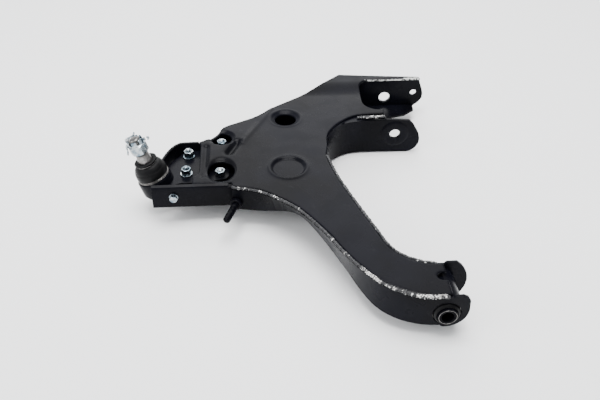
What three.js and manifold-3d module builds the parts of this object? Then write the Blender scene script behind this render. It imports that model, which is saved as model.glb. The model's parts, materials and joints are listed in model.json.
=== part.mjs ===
// Front lower control arm of a passenger vehicle: a welded box arm with a bolted-on ball joint,
// a rubber bush in the end of its long leg and an open clevis for the chassis bush.
// Millimetres. X runs from the ball joint to the pivot axis, Y along the pivot axis, Z up.
// While it is built, z = 0 is the upper face of the upper plate; the finished arm is then moved so
// that the origin is the bottom centre of its box.
import * as THREE from 'three';
import { mergeVertices } from 'three/addons/utils/BufferGeometryUtils.js';
import Module from 'manifold-3d';

const wasm = await Module();
wasm.setup();

// ---------------------------------------------------------------- driving dimensions
const GAP = 0.3;                 // clearance kept between pieces that touch
const SHEET = 3.2;               // sheet of the plates and walls
const CLEVIS_SHEET = 4;          // sheet of the two clevis walls
const PIVOT = { x: 164, z: -29 };            // pivot axis, parallel to Y
const LEG_END = { near: -193, far: -131.5, plate: 169 };
const CLEVIS = { near: 201, far: 316, holeNear: 8.5, holeFar: 9.5 };
const RAISED = { from: 276, to: 314, height: 6 };   // joggle of the upper plate at the clevis
const BALL = { x: -202.3, y: 79.5, z: -19.4, tilt: -17.5, r: 13, housing: 25 };
const POCKET_FLOOR = -19;        // top of the plate that carries the ball joint
const FLANGE = 5;                // ball joint flange
const BOLT = { r: 4, flats: 13, head: 5.3, nut: 8, washer: 9, washerHeight: 1.8 };
// Bolts of the ball joint: the outer two stand in the pocket on washers, the inner two are reached
// through the access holes of the upper plate.
const BOLT_PLACES = [
  { x: -159, y: 133, washer: true, proud: 2.5 }, { x: -160, y: 88, washer: true, proud: 2.5 },
  { x: -110.5, y: 160.5, washer: false, proud: 1.5 }, { x: -111, y: 84.5, washer: false, proud: 1.5 },
];
const BUSH = { bore: 8, sleeve: 12.5, rubber: 16.4, outer: 18.2, tube: 21.2, window: 17.6 };
const STUD = { x: -87, y: 30.4, z: -24, heading: 70.2, r: 5, length: 44 };
const SIDE_BOLT = { x: -175.5, z: -17.5, r: 3, flats: 10, washer: 6.3, nut: 5 };
const BALL_END_Y = 40;            // outer face of the wall beside the ball joint

// Height of the upper face of the upper plate, and of the lower face of the lower plate, along Y.
const TOP_PROFILE = [[-260, 0], [RAISED.from, 0], [RAISED.to, RAISED.height], [380, RAISED.height]];
const BOTTOM_PROFILE = [[-260, -50], [-190, -48], [-150, -42], [-105, -36], [110, -36], [170, -48],
  [380, -48]];
// Lower edge of the crotch's wall, deeper below the clevis.
const NEAR_WALL_BOTTOM = [[-260, -36], [110, -36], [135, -41], [185, -62], [380, -62]];
const WELD_WIDTH = 3.2;

// Plan outlines, as curves through a few points.
const FRONT_TOP = [[172, -193], [150, -193], [132, -191], [107, -180], [85, -163], [66, -138],
  [47, -107], [28, -69], [-2, -22], [-26, 1.5], [-57, 23.5], [-93, 33]];
const FRONT_BOTTOM = [[172, -193], [148, -192.5], [128, -189], [105, -180], [84, -163], [68, -137],
  [50, -95], [32, -50], [8, 0], [-13, 20], [-49.5, 24], [-93, 32]];
const LEG_INNER = [[172, -131.5], [160, -131], [144, -128], [121, -114], [108, -95], [98, -66],
  [81, -17], [61, 47], [50, 97], [49, 130]];
const CROTCH = [[49, 130.4], [52, 161], [61, 177], [73, 189.5], [90, 198], [112, CLEVIS.near]];
const CROTCH_PLATE = [[49, 130], [52, 161], [66, 186.5], [84, 203.5], [99, 213], [116, 216.5], [147, 217]];
const REAR = [[-143.5, 152], [-125, 164], [-115, 178], [-107, 192], [-88, 203], [-58, 220], [-27, 248],
  [17, 280], [52, 307], [86, 338]];
const POCKET_RIM = [[-197, 106], [-189, 130], [-176, 149], [-160, 151.6], [-138, 152]];

// ---------------------------------------------------------------- finishes
const finish = (color, roughness, metalness) =>
  new THREE.MeshStandardMaterial({ color, roughness, metalness });
const FINISH = {
  coat: finish(0x26262c, 0.35, 0.3),
  zinc: finish(0xc3cccc, 0.35, 0.9),
  steel: finish(0x8d8881, 0.45, 0.9),
  rubber: finish(0x161617, 0.75, 0),
  weld: finish(0x9a9a98, 0.5, 0.7),
  polymer: finish(0xd8d4c6, 0.5, 0),
};

// ---------------------------------------------------------------- solids and joins
function toSolid(geometry) {
  const bare = geometry.clone();
  bare.deleteAttribute('normal');
  bare.deleteAttribute('uv');
  const merged = mergeVertices(bare, 1e-4);
  return new wasm.Manifold(new wasm.Mesh({
    numProp: 3,
    vertProperties: new Float32Array(merged.attributes.position.array),
    triVerts: new Uint32Array(merged.index.array),
  }));
}

function toGeometry(solid) {
  const mesh = solid.getMesh();
  const geometry = new THREE.BufferGeometry();
  geometry.setAttribute('position', new THREE.BufferAttribute(new Float32Array(mesh.vertProperties), 3));
  geometry.setIndex(new THREE.BufferAttribute(new Uint32Array(mesh.triVerts), 1));
  return geometry;
}

const join = (...solids) => solids.reduce((whole, next) => whole.add(next));
const cut = (solid, ...tools) => tools.reduce((whole, tool) => whole.subtract(tool), solid);

const largest = (solid) => solid.decompose().sort((a, b) => b.volume() - a.volume())[0];

// Cuts a solid back so that it keeps the usual gap to each neighbour.
function clearOf(solid, ...neighbours) {
  const shifts = [[GAP, 0, 0], [-GAP, 0, 0], [0, GAP, 0], [0, -GAP, 0], [0, 0, GAP], [0, 0, -GAP]];
  const grown = neighbours.flatMap((neighbour) => shifts.map((shift) => neighbour.translate(shift)));
  return cut(solid, ...grown);
}

// ---------------------------------------------------------------- plan curves
const spline = (points, count) => new THREE.SplineCurve(points.map(([x, y]) => new THREE.Vector2(x, y)))
  .getSpacedPoints(count).map((p) => [p.x, p.y]);

// Moves each point of an open line sideways; positive is to the left of its direction.
function offset(line, distance) {
  return line.map((point, i) => {
    const before = line[Math.max(i - 1, 0)];
    const after = line[Math.min(i + 1, line.length - 1)];
    const run = Math.hypot(after[0] - before[0], after[1] - before[1]);
    const step = distance / run;
    return [point[0] - (after[1] - before[1]) * step, point[1] + (after[0] - before[0]) * step];
  });
}

function heightAt(profile, y) {
  const i = Math.max(profile.findIndex((p) => p[0] > y), 1);
  const [[y0, z0], [y1, z1]] = [profile[i - 1], profile[i]];
  return z0 + (z1 - z0) * (y - y0) / (y1 - y0);
}

const topAt = (y) => heightAt(TOP_PROFILE, y);
const bottomAt = (y) => heightAt(BOTTOM_PROFILE, y);

// ---------------------------------------------------------------- shapes
const shapeOf = (points) => new THREE.Shape(points.map(([x, y]) => new THREE.Vector2(x, y)));

function arc(cx, cy, r, fromDegrees, toDegrees, steps) {
  return Array.from({ length: steps + 1 }, (_, i) => {
    const angle = THREE.MathUtils.degToRad(fromDegrees + (toDegrees - fromDegrees) * i / steps);
    return [cx + r * Math.cos(angle), cy + r * Math.sin(angle)];
  });
}

// Upright prism over a plan outline.
function prism(points, z0, z1) {
  const geometry = new THREE.ExtrudeGeometry(shapeOf(points), { depth: z1 - z0, bevelEnabled: false });
  return geometry.translate(0, 0, z0);
}

// Plate that stands in the XZ plane, between two values of Y.
function standing(points, y0, y1) {
  const geometry = new THREE.ExtrudeGeometry(shapeOf(points), { depth: y1 - y0, bevelEnabled: false });
  return geometry.rotateX(Math.PI / 2).translate(0, y1, 0);
}

// Bar along X over a section given as [y, z] points.
function alongX(section, x0, x1) {
  const geometry = new THREE.ExtrudeGeometry(shapeOf(section), { depth: x1 - x0, bevelEnabled: false });
  const turn = new THREE.Matrix4().makeBasis(
    new THREE.Vector3(0, 1, 0), new THREE.Vector3(0, 0, 1), new THREE.Vector3(1, 0, 0));
  return geometry.applyMatrix4(turn).translate(x0, 0, 0);
}

// Sheet whose height follows a profile along Y, as wide in X as the whole arm.
function rolledSheet(profile, low, high) {
  const section = [...profile.map(([y, z]) => [y, z + low]),
    ...profile.toReversed().map(([y, z]) => [y, z + high])];
  return alongX(section, -300, 300);
}

// Wall between a top line and a bottom line of as many points, thickened to the left of its direction.
function wall(top, bottom, topZ, bottomZ, thickness) {
  const lines = [
    top.map(([x, y]) => [x, y, topZ(y, x)]),
    bottom.map(([x, y]) => [x, y, bottomZ(y, x)]),
    offset(bottom, thickness).map(([x, y], i) => [x, y, bottomZ(bottom[i][1], x)]),
    offset(top, thickness).map(([x, y], i) => [x, y, topZ(top[i][1], x)]),
  ];
  const count = top.length;
  const corner = (line, i) => (line % 4) * count + i;
  const faces = [];
  for (let i = 0; i < count - 1; i += 1) {
    for (let line = 0; line < 4; line += 1) {
      const [a, b] = [corner(line, i), corner(line, i + 1)];
      const [c, d] = [corner(line + 1, i + 1), corner(line + 1, i)];
      faces.push(a, c, b, a, d, c);
    }
  }
  const end = count - 1;
  faces.push(corner(0, 0), corner(2, 0), corner(1, 0), corner(0, 0), corner(3, 0), corner(2, 0));
  faces.push(corner(0, end), corner(1, end), corner(2, end));
  faces.push(corner(0, end), corner(2, end), corner(3, end));
  const geometry = new THREE.BufferGeometry();
  geometry.setAttribute('position', new THREE.BufferAttribute(new Float32Array(lines.flat(2)), 3));
  geometry.setIndex(signedVolume(lines.flat(), faces) < 0 ? faces.toReversed() : faces);
  return geometry;
}

function signedVolume(points, faces) {
  let total = 0;
  for (let i = 0; i < faces.length; i += 3) {
    const [a, b, c] = [points[faces[i]], points[faces[i + 1]], points[faces[i + 2]]];
    total += new THREE.Vector3(...a).dot(new THREE.Vector3(...b).cross(new THREE.Vector3(...c)));
  }
  return total;
}

const rodZ = (r, z0, z1, sides = 24) => new THREE.CylinderGeometry(r, r, z1 - z0, sides)
  .rotateX(Math.PI / 2).translate(0, 0, (z0 + z1) / 2);
const rodX = (r, x0, x1, sides) => new THREE.CylinderGeometry(r, r, x1 - x0, sides)
  .rotateZ(Math.PI / 2).translate((x0 + x1) / 2, 0, 0);
const rodY = (r, y0, y1, sides = 32) => new THREE.CylinderGeometry(r, r, y1 - y0, sides)
  .translate(0, (y0 + y1) / 2, 0);
const hexZ = (flats, z0, z1) => rodZ(flats / Math.sqrt(3), z0, z1, 6);
const at = (geometry, x, y, z) => geometry.translate(x, y, z);

// Solid of revolution about Z; the profile is [radius, height] pairs and closes on itself or the axis.
function turned(profile, sides = 32) {
  const onAxis = profile[0][0] === 0;
  const signedArea = THREE.ShapeUtils.area(profile.map(([x, y]) => ({ x, y })));
  const rising = signedArea > 0 ? profile : profile.toReversed();
  const points = (onAxis ? rising : [...rising, rising[0]]).map(([r, z]) => new THREE.Vector2(r, z));
  const geometry = mergeVertices(bareLathe(points, sides), 1e-4).rotateX(Math.PI / 2);
  return toGeometry(toSolid(geometry));
}

function bareLathe(points, sides) {
  const geometry = new THREE.LatheGeometry(points, sides);
  geometry.deleteAttribute('normal');
  geometry.deleteAttribute('uv');
  return geometry;
}

const turnedAboutY = (profile, sides) => turned(profile, sides).rotateX(-Math.PI / 2);

function ringY(inner, outer, y0, y1, sides = 40) {
  return turnedAboutY([[inner, y0], [outer, y0], [outer, y1], [inner, y1]], sides);
}

function tubeAlong(points, r, steps, sides = 8) {
  const path = new THREE.CatmullRomCurve3(points.map((p) => new THREE.Vector3(...p)));
  return new THREE.ExtrudeGeometry(shapeOf(arc(0, 0, r, 0, 360, sides).slice(0, -1)),
    { steps, bevelEnabled: false, extrudePath: path });
}

// ---------------------------------------------------------------- the arm and its pieces
const arm = new THREE.Group();

function addPiece(name, geometry, material, parent = arm) {
  const mesh = new THREE.Mesh(geometry, material);
  mesh.name = name;
  parent.add(mesh);
  return mesh;
}

const frontTop = spline(FRONT_TOP, 44);
const frontBottom = spline(FRONT_BOTTOM, 44);
const legInner = spline(LEG_INNER, 26);
const crotch = spline(CROTCH, 14);
const crotchPlate = spline(CROTCH_PLATE, 18);
const rear = spline(REAR, 28);
const pocketRim = spline(POCKET_RIM, 10);
const clevisHole = (r) => at(rodY(r, CLEVIS.near - 10, CLEVIS.far + 20), PIVOT.x, 0, PIVOT.z);
const boltHoles = BOLT_PLACES.map(({ x, y }) => toSolid(at(rodZ(BOLT.r + 0.5, -30, 0, 20), x, y, 0)));

// Window in the upper plate over the clevis, open at the end of the arm.
const WINDOW = [[240, CLEVIS.far], ...arc(136, 297, 19, 90, 180, 6), ...arc(144, 257, 27, 180, 262, 7),
  [240, 229.5]];

function upperPlate() {
  const frontEdge = offset(frontTop, -4).filter(([x]) => x < LEG_END.plate);
  const outline = [
    [LEG_END.plate, LEG_END.near + 4], ...frontEdge, [-94, 46], [-149, 46],
    [-149, 58], ...arc(-152, 76, 12, -75, 0, 5), [-141, 143], [-143.7, 149.5], ...rear,
    [222, 322], [224, 312],
    [149, 230], ...crotchPlate.toReversed(),
    ...offset(legInner, 4).toReversed().slice(2).filter(([x]) => x < LEG_END.plate - 2),
    [LEG_END.plate, LEG_END.far - 4],
  ];
  const notch = [...arc(164, -157.5, 7, 90, 270, 8), [190, -164.5], [190, -150.5]];
  const sheet = toSolid(rolledSheet(TOP_PROFILE, -SHEET, 0)).intersect(toSolid(prism(outline, -20, 20)));
  const holes = [
    prism(WINDOW, -20, 20), prism(notch, -20, 20), at(rodZ(16.5, -20, 20, 36), -10.8, 211.5, 0),
    at(rodZ(15, -20, 20, 32), -110, 162, 0), at(rodZ(19, -20, 20, 36).scale(1, 1.25, 1), -109, 77, 0),
  ];
  const rim = toSolid(at(turned([[22, -0.5], [26, -0.5], [24.6, 1.2], [23.4, 1.2]], 36), -12, 78, 0));
  // The plate's far edge is bent down beyond the far clevis wall.
  const farEdge = [[91, 337.5], [205, 324]];
  const farLip = toSolid(wall(farEdge, farEdge, () => RAISED.height - 0.5, () => -8, -SHEET));
  return toGeometry(join(cut(sheet, ...holes.map(toSolid)), rim, farLip));
}

function lowerPlate(walls) {
  const inset = SHEET + GAP;
  const outline = [
    ...offset(frontBottom, -inset).filter(([x]) => x < 186 && x > -90), [-92, 44], [-206, 44],
    [-206, 104], ...offset(pocketRim, -inset).slice(1), ...offset(rear, -inset).slice(1, -1), [89, 315.6],
    [214, 315.6], [213, 299], [195, 284], ...arc(166, 246, 30, 90, 180, 6),
    [136, CLEVIS.near + CLEVIS_SHEET + GAP],
    ...offset(crotch, CLEVIS_SHEET + GAP).toReversed().slice(0, -2),
    ...offset(legInner, inset).toReversed().slice(1),
  ];
  const sheet = toSolid(rolledSheet(BOTTOM_PROFILE, 0, SHEET)).intersect(toSolid(prism(outline, -60, 0)));
  const ballRoom = [...arc(-198, BALL.y, 31, -90, 90, 18), [-240, BALL.y + 31], [-240, BALL.y - 31]];
  const bushRoom = at(rodY(BUSH.tube + GAP, -220, LEG_END.far), PIVOT.x, 0, PIVOT.z);
  return toGeometry(clearOf(cut(sheet, toSolid(prism(ballRoom, -80, 20)), toSolid(bushRoom)), ...walls));
}

const UNDER_PLATE = -SHEET - GAP;

function frontWall() {
  const ribbon = toSolid(wall(frontTop, frontBottom, () => UNDER_PLATE, (y) => bottomAt(y), -SHEET));
  const end = [[158, UNDER_PLATE], [169.8, UNDER_PLATE], [174, -0.5], [181, 0], [187, -3], [190.5, -9],
    [191, -24], ...arc(PIVOT.x, -24, 27, -10, -95, 9), [158, -49.5]];
  const bore = toSolid(at(rodY(BUSH.window, -220, -180), PIVOT.x, 0, PIVOT.z));
  return cut(join(ribbon, toSolid(standing(end, LEG_END.near, LEG_END.near + SHEET))), bore);
}

function legInnerWall() {
  const ribbon = toSolid(wall(legInner, legInner, () => UNDER_PLATE, (y) => bottomAt(y), SHEET));
  const end = [[158, UNDER_PLATE], [169.8, UNDER_PLATE], [173, 0], [186, 0],
    ...arc(PIVOT.x, PIVOT.z - 2, 38, 52, -40, 9), [158, -50]];
  const bore = toSolid(at(rodY(BUSH.window, -150, -110), PIVOT.x, 0, PIVOT.z));
  return cut(join(ribbon, toSolid(standing(end, LEG_END.far - SHEET, LEG_END.far))), bore);
}

function clevisNearWall() {
  const ribbon = toSolid(wall(crotch, crotch, () => UNDER_PLATE,
    (y) => heightAt(NEAR_WALL_BOTTOM, y), CLEVIS_SHEET));
  const side = [[110, UNDER_PLATE], [147.5, UNDER_PLATE], [149, -2], [187, -5], [193, -12], [203, -30],
    ...arc(183, -42, 22, 10, -85, 8),
    [110, -62]];
  const lip = [...crotch.filter(([x]) => x > 70), [150, CLEVIS.near], [150, 212],
    ...crotchPlate.filter(([x]) => x > 72 && x < 146).toReversed()];
  const shoulder = toSolid(prism(lip, UNDER_PLATE - 2, UNDER_PLATE + 0.01));
  const body = join(ribbon, toSolid(standing(side, CLEVIS.near, CLEVIS.near + CLEVIS_SHEET)), shoulder);
  return cut(body, toSolid(clevisHole(CLEVIS.holeNear)));
}

function clevisFarWall() {
  const top = RAISED.height + UNDER_PLATE;
  const side = [[92, top], [222, top], [228, -14], [230, -24], [229.5, -32], [224, -40],
    [214.5, -47.5], [92, -48]];
  const plate = toSolid(standing(side, CLEVIS.far, CLEVIS.far + CLEVIS_SHEET));
  const linkHole = toSolid(at(rodY(5.5, 300, 340, 24), 213.5, 0, -21));
  return cut(plate, toSolid(clevisHole(CLEVIS.holeFar)), linkHole);
}

function rearWall() {
  const ribbon = toSolid(wall(rear, rear, () => RAISED.height, (y) => bottomAt(y), -SHEET));
  return cut(ribbon, toSolid(rolledSheet(TOP_PROFILE, UNDER_PLATE, 40)));
}

function pocketRimWall(...neighbours) {
  return largest(clearOf(toSolid(wall(pocketRim, pocketRim, () => 0, () => -36, -SHEET)), ...neighbours));
}

// Wall beside the ball joint; its top bends over towards the edge of the upper plate.
function ballEndWall() {
  const [outer, inner] = [BALL_END_Y, BALL_END_Y + SHEET];
  const section = [[outer, -36], [outer, -7], [outer + 1.8, -2.4], [45.7, -0.3],
    [45.7, UNDER_PLATE + GAP], [44, -5.2],
    [inner, -8], [inner, -36]];
  const closing = [[outer, -36], [outer, UNDER_PLATE - GAP], [inner, UNDER_PLATE - GAP], [inner, -36]];
  return join(toSolid(alongX(section, -206, -98)), toSolid(alongX(closing, -99, -88)));
}

function pocketFloor() {
  const outline = [[-203, 44], [-96, 44], [-90, 60], [-90, 178], [-108, 178], [-119, 164],
    [-134, 150], [-150, 147.5],
    [-172, 144.5], [-185, 127], [-192, 108], [-203, 108]];
  const plate = toSolid(prism(outline, POCKET_FLOOR - 4, POCKET_FLOOR));
  const ballRoom = [...arc(-198, BALL.y, 29, -90, 90, 18), [-240, BALL.y + 29], [-240, BALL.y - 29]];
  const nutRoom = prism([[-186, 40], [-165, 40], [-165, 54], [-186, 54]], -40, 0);
  const open = cut(plate, toSolid(prism(ballRoom, -40, 0)), toSolid(nutRoom), ...boltHoles);
  return toGeometry(largest(clearOf(open, walls.rear_wall, walls.pocket_rim)));
}

function clevisBoss(y0, y1, hole) {
  return at(ringY(hole, 23, y0, y1), PIVOT.x, 0, PIVOT.z);
}

const rearSolid = rearWall();
const plateSheet = upperPlate();
const sideHole = toSolid(at(rodY(SIDE_BOLT.r + 0.4, 30, 60, 20), SIDE_BOLT.x, 0, SIDE_BOLT.z));
const walls = {
  front_wall: frontWall(),
  leg_inner_wall: legInnerWall(),
  clevis_near_wall: clevisNearWall(),
  clevis_far_wall: clevisFarWall(),
  rear_wall: rearSolid,
  pocket_rim: pocketRimWall(rearSolid, toSolid(plateSheet)),
  ball_end_wall: cut(ballEndWall(), sideHole),
};
addPiece('upper_plate', plateSheet, FINISH.coat);
const floorSheet = largest(toSolid(lowerPlate(Object.values(walls))));
addPiece('lower_plate', toGeometry(floorSheet), FINISH.coat);
Object.entries(walls).forEach(([name, solid]) => addPiece(name, toGeometry(solid), FINISH.coat));
addPiece('ball_joint_carrier', pocketFloor(), FINISH.coat);
addPiece('clevis_near_boss', clevisBoss(CLEVIS.near - GAP - 4, CLEVIS.near - GAP, CLEVIS.holeNear),
  FINISH.coat);
addPiece('clevis_far_boss', clevisBoss(CLEVIS.far + CLEVIS_SHEET + GAP, CLEVIS.far + CLEVIS_SHEET + GAP + 4,
  CLEVIS.holeFar), FINISH.coat);

// ---------------------------------------------------------------- weld beads
// A bead is a low strip that lies in the step between the edge of the upper plate and the wall below it.
function bead(line, side, width) {
  const inner = offset(line, side * width);
  return prism([...line, ...inner.toReversed()], UNDER_PLATE + GAP, -0.3);
}

const frontBeadLine = offset(frontTop, -0.4).filter(([x]) => x < LEG_END.plate - 1);
addPiece('front_weld', bead(frontBeadLine, -1, WELD_WIDTH), FINISH.weld);
const innerBeadLine = offset(legInner, 0.4).filter(([x, y]) => x < LEG_END.plate - 1 && y < 112);
addPiece('leg_inner_weld', bead(innerBeadLine, 1, WELD_WIDTH), FINISH.weld);
addPiece('clevis_weld', prism([[104, 203], [146, 203], [146.5, 215], [116, 214.5], [104, 211.5]],
  UNDER_PLATE + GAP, -0.6), FINISH.weld);

// ---------------------------------------------------------------- rubber bush in the leg
const bush = new THREE.Group();
bush.position.set(PIVOT.x, 0, PIVOT.z);
arm.add(bush);
const tubeNear = LEG_END.near + SHEET + 1;
const tubeFar = LEG_END.far - SHEET - 1;
addPiece('bush_tube', ringY(BUSH.outer + GAP, BUSH.tube, tubeNear, tubeFar), FINISH.coat, bush);
addPiece('bush_outer_sleeve', ringY(BUSH.rubber + GAP, BUSH.outer, tubeNear + 0.5, tubeFar - 0.5),
  FINISH.steel, bush);
const rubberProfile = [[BUSH.sleeve + GAP, -196], [14.6, -196], [BUSH.rubber, -194], [BUSH.rubber, -131],
  [14.6, -129], [BUSH.sleeve + GAP, -129]];
addPiece('bush_rubber', turnedAboutY(rubberProfile, 40), FINISH.rubber, bush);
addPiece('bush_inner_sleeve', ringY(BUSH.bore, BUSH.sleeve, -199, -126), FINISH.steel, bush);

// ---------------------------------------------------------------- threaded stud on the front wall
const studMount = new THREE.Group();
studMount.position.set(STUD.x, STUD.y, STUD.z);
studMount.rotation.z = THREE.MathUtils.degToRad(180 + STUD.heading);
arm.add(studMount);
const collarBore = toSolid(rodX(STUD.r + GAP, -5, 20, 24));
addPiece('stud_collar', toGeometry(cut(toSolid(rodX(8.5, 1, 7, 24)), collarBore)),
  FINISH.coat, studMount);
const studTip = toSolid(rodX(STUD.r - 1.2, STUD.length - 2, STUD.length, 20));
addPiece('threaded_stud', toGeometry(join(toSolid(rodX(STUD.r, 1, STUD.length - 2, 20)), studTip)),
  FINISH.coat, studMount);

// ---------------------------------------------------------------- ball joint
const ballJoint = new THREE.Group();
ballJoint.position.set(BALL.x, BALL.y, BALL.z);
ballJoint.rotation.y = THREE.MathUtils.degToRad(BALL.tilt);
arm.add(ballJoint);
ballJoint.updateMatrixWorld();

// Arc of the ball's surface in a turned profile, angles from the stud axis.
const ballArc = (r, fromDegrees, toDegrees, steps) => Array.from({ length: steps + 1 }, (_, i) => {
  const angle = THREE.MathUtils.degToRad(fromDegrees + (toDegrees - fromDegrees) * i / steps);
  return [r * Math.sin(angle), r * Math.cos(angle)];
});
const SEAT_BORE = BALL.r + 0.15;
const SEAT_OUTER = 17.4;

function housing() {
  const cup = toSolid(turned([[15.2, 12], [24, 12], [BALL.housing, 10], [BALL.housing, -10], [22.5, -15],
    [20.6, -16.5], [20.6, -14.6], [SEAT_OUTER + GAP, -14.6], [SEAT_OUTER + GAP, 8.2], [15.2, 8.2]], 40));
  const [outerFar, outerNear, innerFar, innerNear] = BOLT_PLACES;
  const flangeOutline = [[-190, 58], ...arc(outerNear.x, outerNear.y - 4, 18, -110, -80, 2),
    ...arc(innerNear.x, innerNear.y, 13, -90, 0, 5), ...arc(innerFar.x, innerFar.y, 13, 0, 120, 6),
    ...arc(outerFar.x, outerFar.y, 13, 100, 170, 4), [-190, 103]];
  const top = POCKET_FLOOR + GAP + FLANGE;
  const flange = toSolid(prism(flangeOutline, POCKET_FLOOR + GAP, top));
  const into = ballJoint.matrixWorld.clone().invert();
  const inner = toSolid(turned([[0, -30], [SEAT_OUTER + 2, -30], [SEAT_OUTER + 2, 30], [0, 30]], 40));
  const drilled = largest(clearOf(cut(flange, ...boltHoles), walls.rear_wall, walls.pocket_rim));
  const placed = toSolid(toGeometry(drilled).applyMatrix4(into)).subtract(inner);
  return toGeometry(cup.add(placed));
}

addPiece('ball_joint_housing', housing(), FINISH.coat, ballJoint);
// The lower seat follows the whole ball, because the edge of the ball's flat end sweeps along it.
addPiece('lower_seat', turned([[0, -14.4], [SEAT_OUTER, -14.4], [SEAT_OUTER, -1],
  [SEAT_BORE, -1], ...ballArc(SEAT_BORE, 94, 174, 11), [0, -SEAT_BORE]], 36), FINISH.polymer, ballJoint);
addPiece('upper_seat', turned([...ballArc(SEAT_BORE, 88, 63, 5), [12.2, 8], [SEAT_OUTER, 8],
  [SEAT_OUTER, -0.6], [SEAT_BORE + 0.05, -0.6]], 36), FINISH.polymer, ballJoint);
addPiece('housing_cap', turned([[0, -16.4], [20.3, -16.4], [20.3, -14.9], [0, -14.9]], 32),
  FINISH.coat, ballJoint);

const STUD_PIN_HEIGHT = 74;
// The taper ends below the castle nut, so that the knuckle's face can reach the nut.
const ballStudProfile = [[0, -10.8], ...ballArc(BALL.r, 146, 38, 16), [8, 12], [8, 34], [10.7, 38],
  [10.7, 40], [8.9, 53], [8, 53.6], [8, 78.5], [7, 79.5], [0, 79.5]];
const pinHole = toSolid(rodX(2.2, -20, 20, 16).translate(0, 0, STUD_PIN_HEIGHT));
const drilledStud = cut(toSolid(turned(ballStudProfile, 32)), pinHole);
addPiece('ball_stud', toGeometry(drilledStud), FINISH.steel, ballJoint);

addPiece('dust_boot', turned([[20.5, 12.6], [22.4, 12.6], [22.4, 17.2], [23, 20], [22.6, 25],
  [20.6, 30.5], [17.4, 34.6],
  [14.6, 36.4], [14.2, 37.6], [16.4, 38.4], [16.4, 41], [11.2, 41], [11.2, 35.4], [15.2, 32.2], [18.4, 28],
  [20.2, 22], [20.5, 18]], 40), FINISH.rubber, ballJoint);
addPiece('boot_lower_ring', turned([[22.8, 13], [24.3, 13], [24.3, 16.2], [22.8, 16.2]], 40),
  FINISH.zinc, ballJoint);
addPiece('boot_upper_ring', turned([[14.9, 36.5], [15.8, 36.5], [15.8, 37.5], [14.9, 37.5]], 36),
  FINISH.zinc, ballJoint);

function castleNut() {
  const hex = toSolid(hexZ(24, 56.3, 71));
  const crown = toSolid(rodZ(11.2, 70.9, 78, 32));
  const slots = [0, 60, 120].map((turn) => toSolid(new THREE.BoxGeometry(40, 4.6, 8)
    .translate(0, 0, 76).rotateZ(THREE.MathUtils.degToRad(turn))));
  const bore = toSolid(rodZ(8 + GAP, 50, 90, 32));
  const countersink = toSolid(turned([[0, 56], [9.6, 56], [8, 57.6], [0, 57.6]], 32));
  return toGeometry(cut(join(hex, crown), bore, countersink, ...slots));
}

addPiece('castle_nut', castleNut(), FINISH.zinc, ballJoint);
const acrossStud = [15.5, 6, -6, -12.6].map((x) => [x, 0, STUD_PIN_HEIGHT]);
const pinRoute = [...acrossStud, [-15.2, 0, 71], [-16.4, 0, 64], [-17, 0, 57.5]];
addPiece('cotter_pin', tubeAlong(pinRoute, 1.5, 24), FINISH.zinc, ballJoint);

// ---------------------------------------------------------------- fasteners
function hexNut(flats, height, bore) {
  return toGeometry(cut(toSolid(hexZ(flats, 0, height)), toSolid(rodZ(bore, -1, height + 1, 24))));
}

function flatWasher(bore, r, height) {
  return turned([[bore, 0], [r, 0], [r, height], [bore, height]], 28);
}

const stackBase = POCKET_FLOOR + GAP + FLANGE + GAP;
const headTop = POCKET_FLOOR - 4 - GAP;
BOLT_PLACES.forEach(({ x, y, washer, proud }, i) => {
  const nutBase = washer ? stackBase + BOLT.washerHeight + GAP : stackBase;
  const shankTop = nutBase + BOLT.nut + proud;
  const head = toSolid(hexZ(BOLT.flats, headTop - BOLT.head, headTop));
  const shank = toSolid(rodZ(BOLT.r, headTop - 1, shankTop, 20));
  const tip = toSolid(rodZ(BOLT.r - 1, shankTop - 0.1, shankTop + 1.2, 20));
  addPiece(`joint_bolt_${i + 1}`, toGeometry(join(head, shank, tip)).translate(x, y, 0), FINISH.zinc);
  const nut = hexNut(BOLT.flats, BOLT.nut, BOLT.r + GAP).translate(x, y, nutBase);
  addPiece(`joint_nut_${i + 1}`, nut, FINISH.zinc);
  if (!washer) return;
  addPiece(`joint_washer_${i + 1}`, flatWasher(BOLT.r + GAP, BOLT.washer, BOLT.washerHeight)
    .translate(x, y, stackBase), FINISH.zinc);
});

// Bolt through the wall beside the ball joint, head outwards.
const sideBolt = new THREE.Group();
sideBolt.position.set(SIDE_BOLT.x, BALL_END_Y, SIDE_BOLT.z);
sideBolt.rotation.x = Math.PI / 2;
arm.add(sideBolt);
const sideHead = toSolid(hexZ(SIDE_BOLT.flats, 2.5, 7));
const sideShank = toSolid(rodZ(SIDE_BOLT.r, -13, 3, 18));
addPiece('side_bolt', toGeometry(join(sideHead, sideShank)), FINISH.zinc, sideBolt);
addPiece('side_washer', flatWasher(SIDE_BOLT.r + GAP, SIDE_BOLT.washer, 1.9).translate(0, 0, GAP),
  FINISH.zinc, sideBolt);
addPiece('side_nut', hexNut(SIDE_BOLT.flats, SIDE_BOLT.nut, SIDE_BOLT.r + GAP)
  .translate(0, 0, -SHEET - GAP - SIDE_BOLT.nut),
  FINISH.zinc, sideBolt);

// ---------------------------------------------------------------- origin at the bottom centre
const bounds = new THREE.Box3().setFromObject(arm);
const centre = bounds.getCenter(new THREE.Vector3());
arm.position.set(-centre.x, -centre.y, -bounds.min.z);

export default arm;
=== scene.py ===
"""Looks of a welded front lower control arm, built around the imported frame."""

import json
import logging
import math
from collections.abc import Callable, Sequence
from dataclasses import dataclass, field
from enum import Enum

import bmesh
import bpy
import numpy as np
from mathutils import Matrix, Vector
from mathutils.geometry import delaunay_2d_cdt


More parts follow.
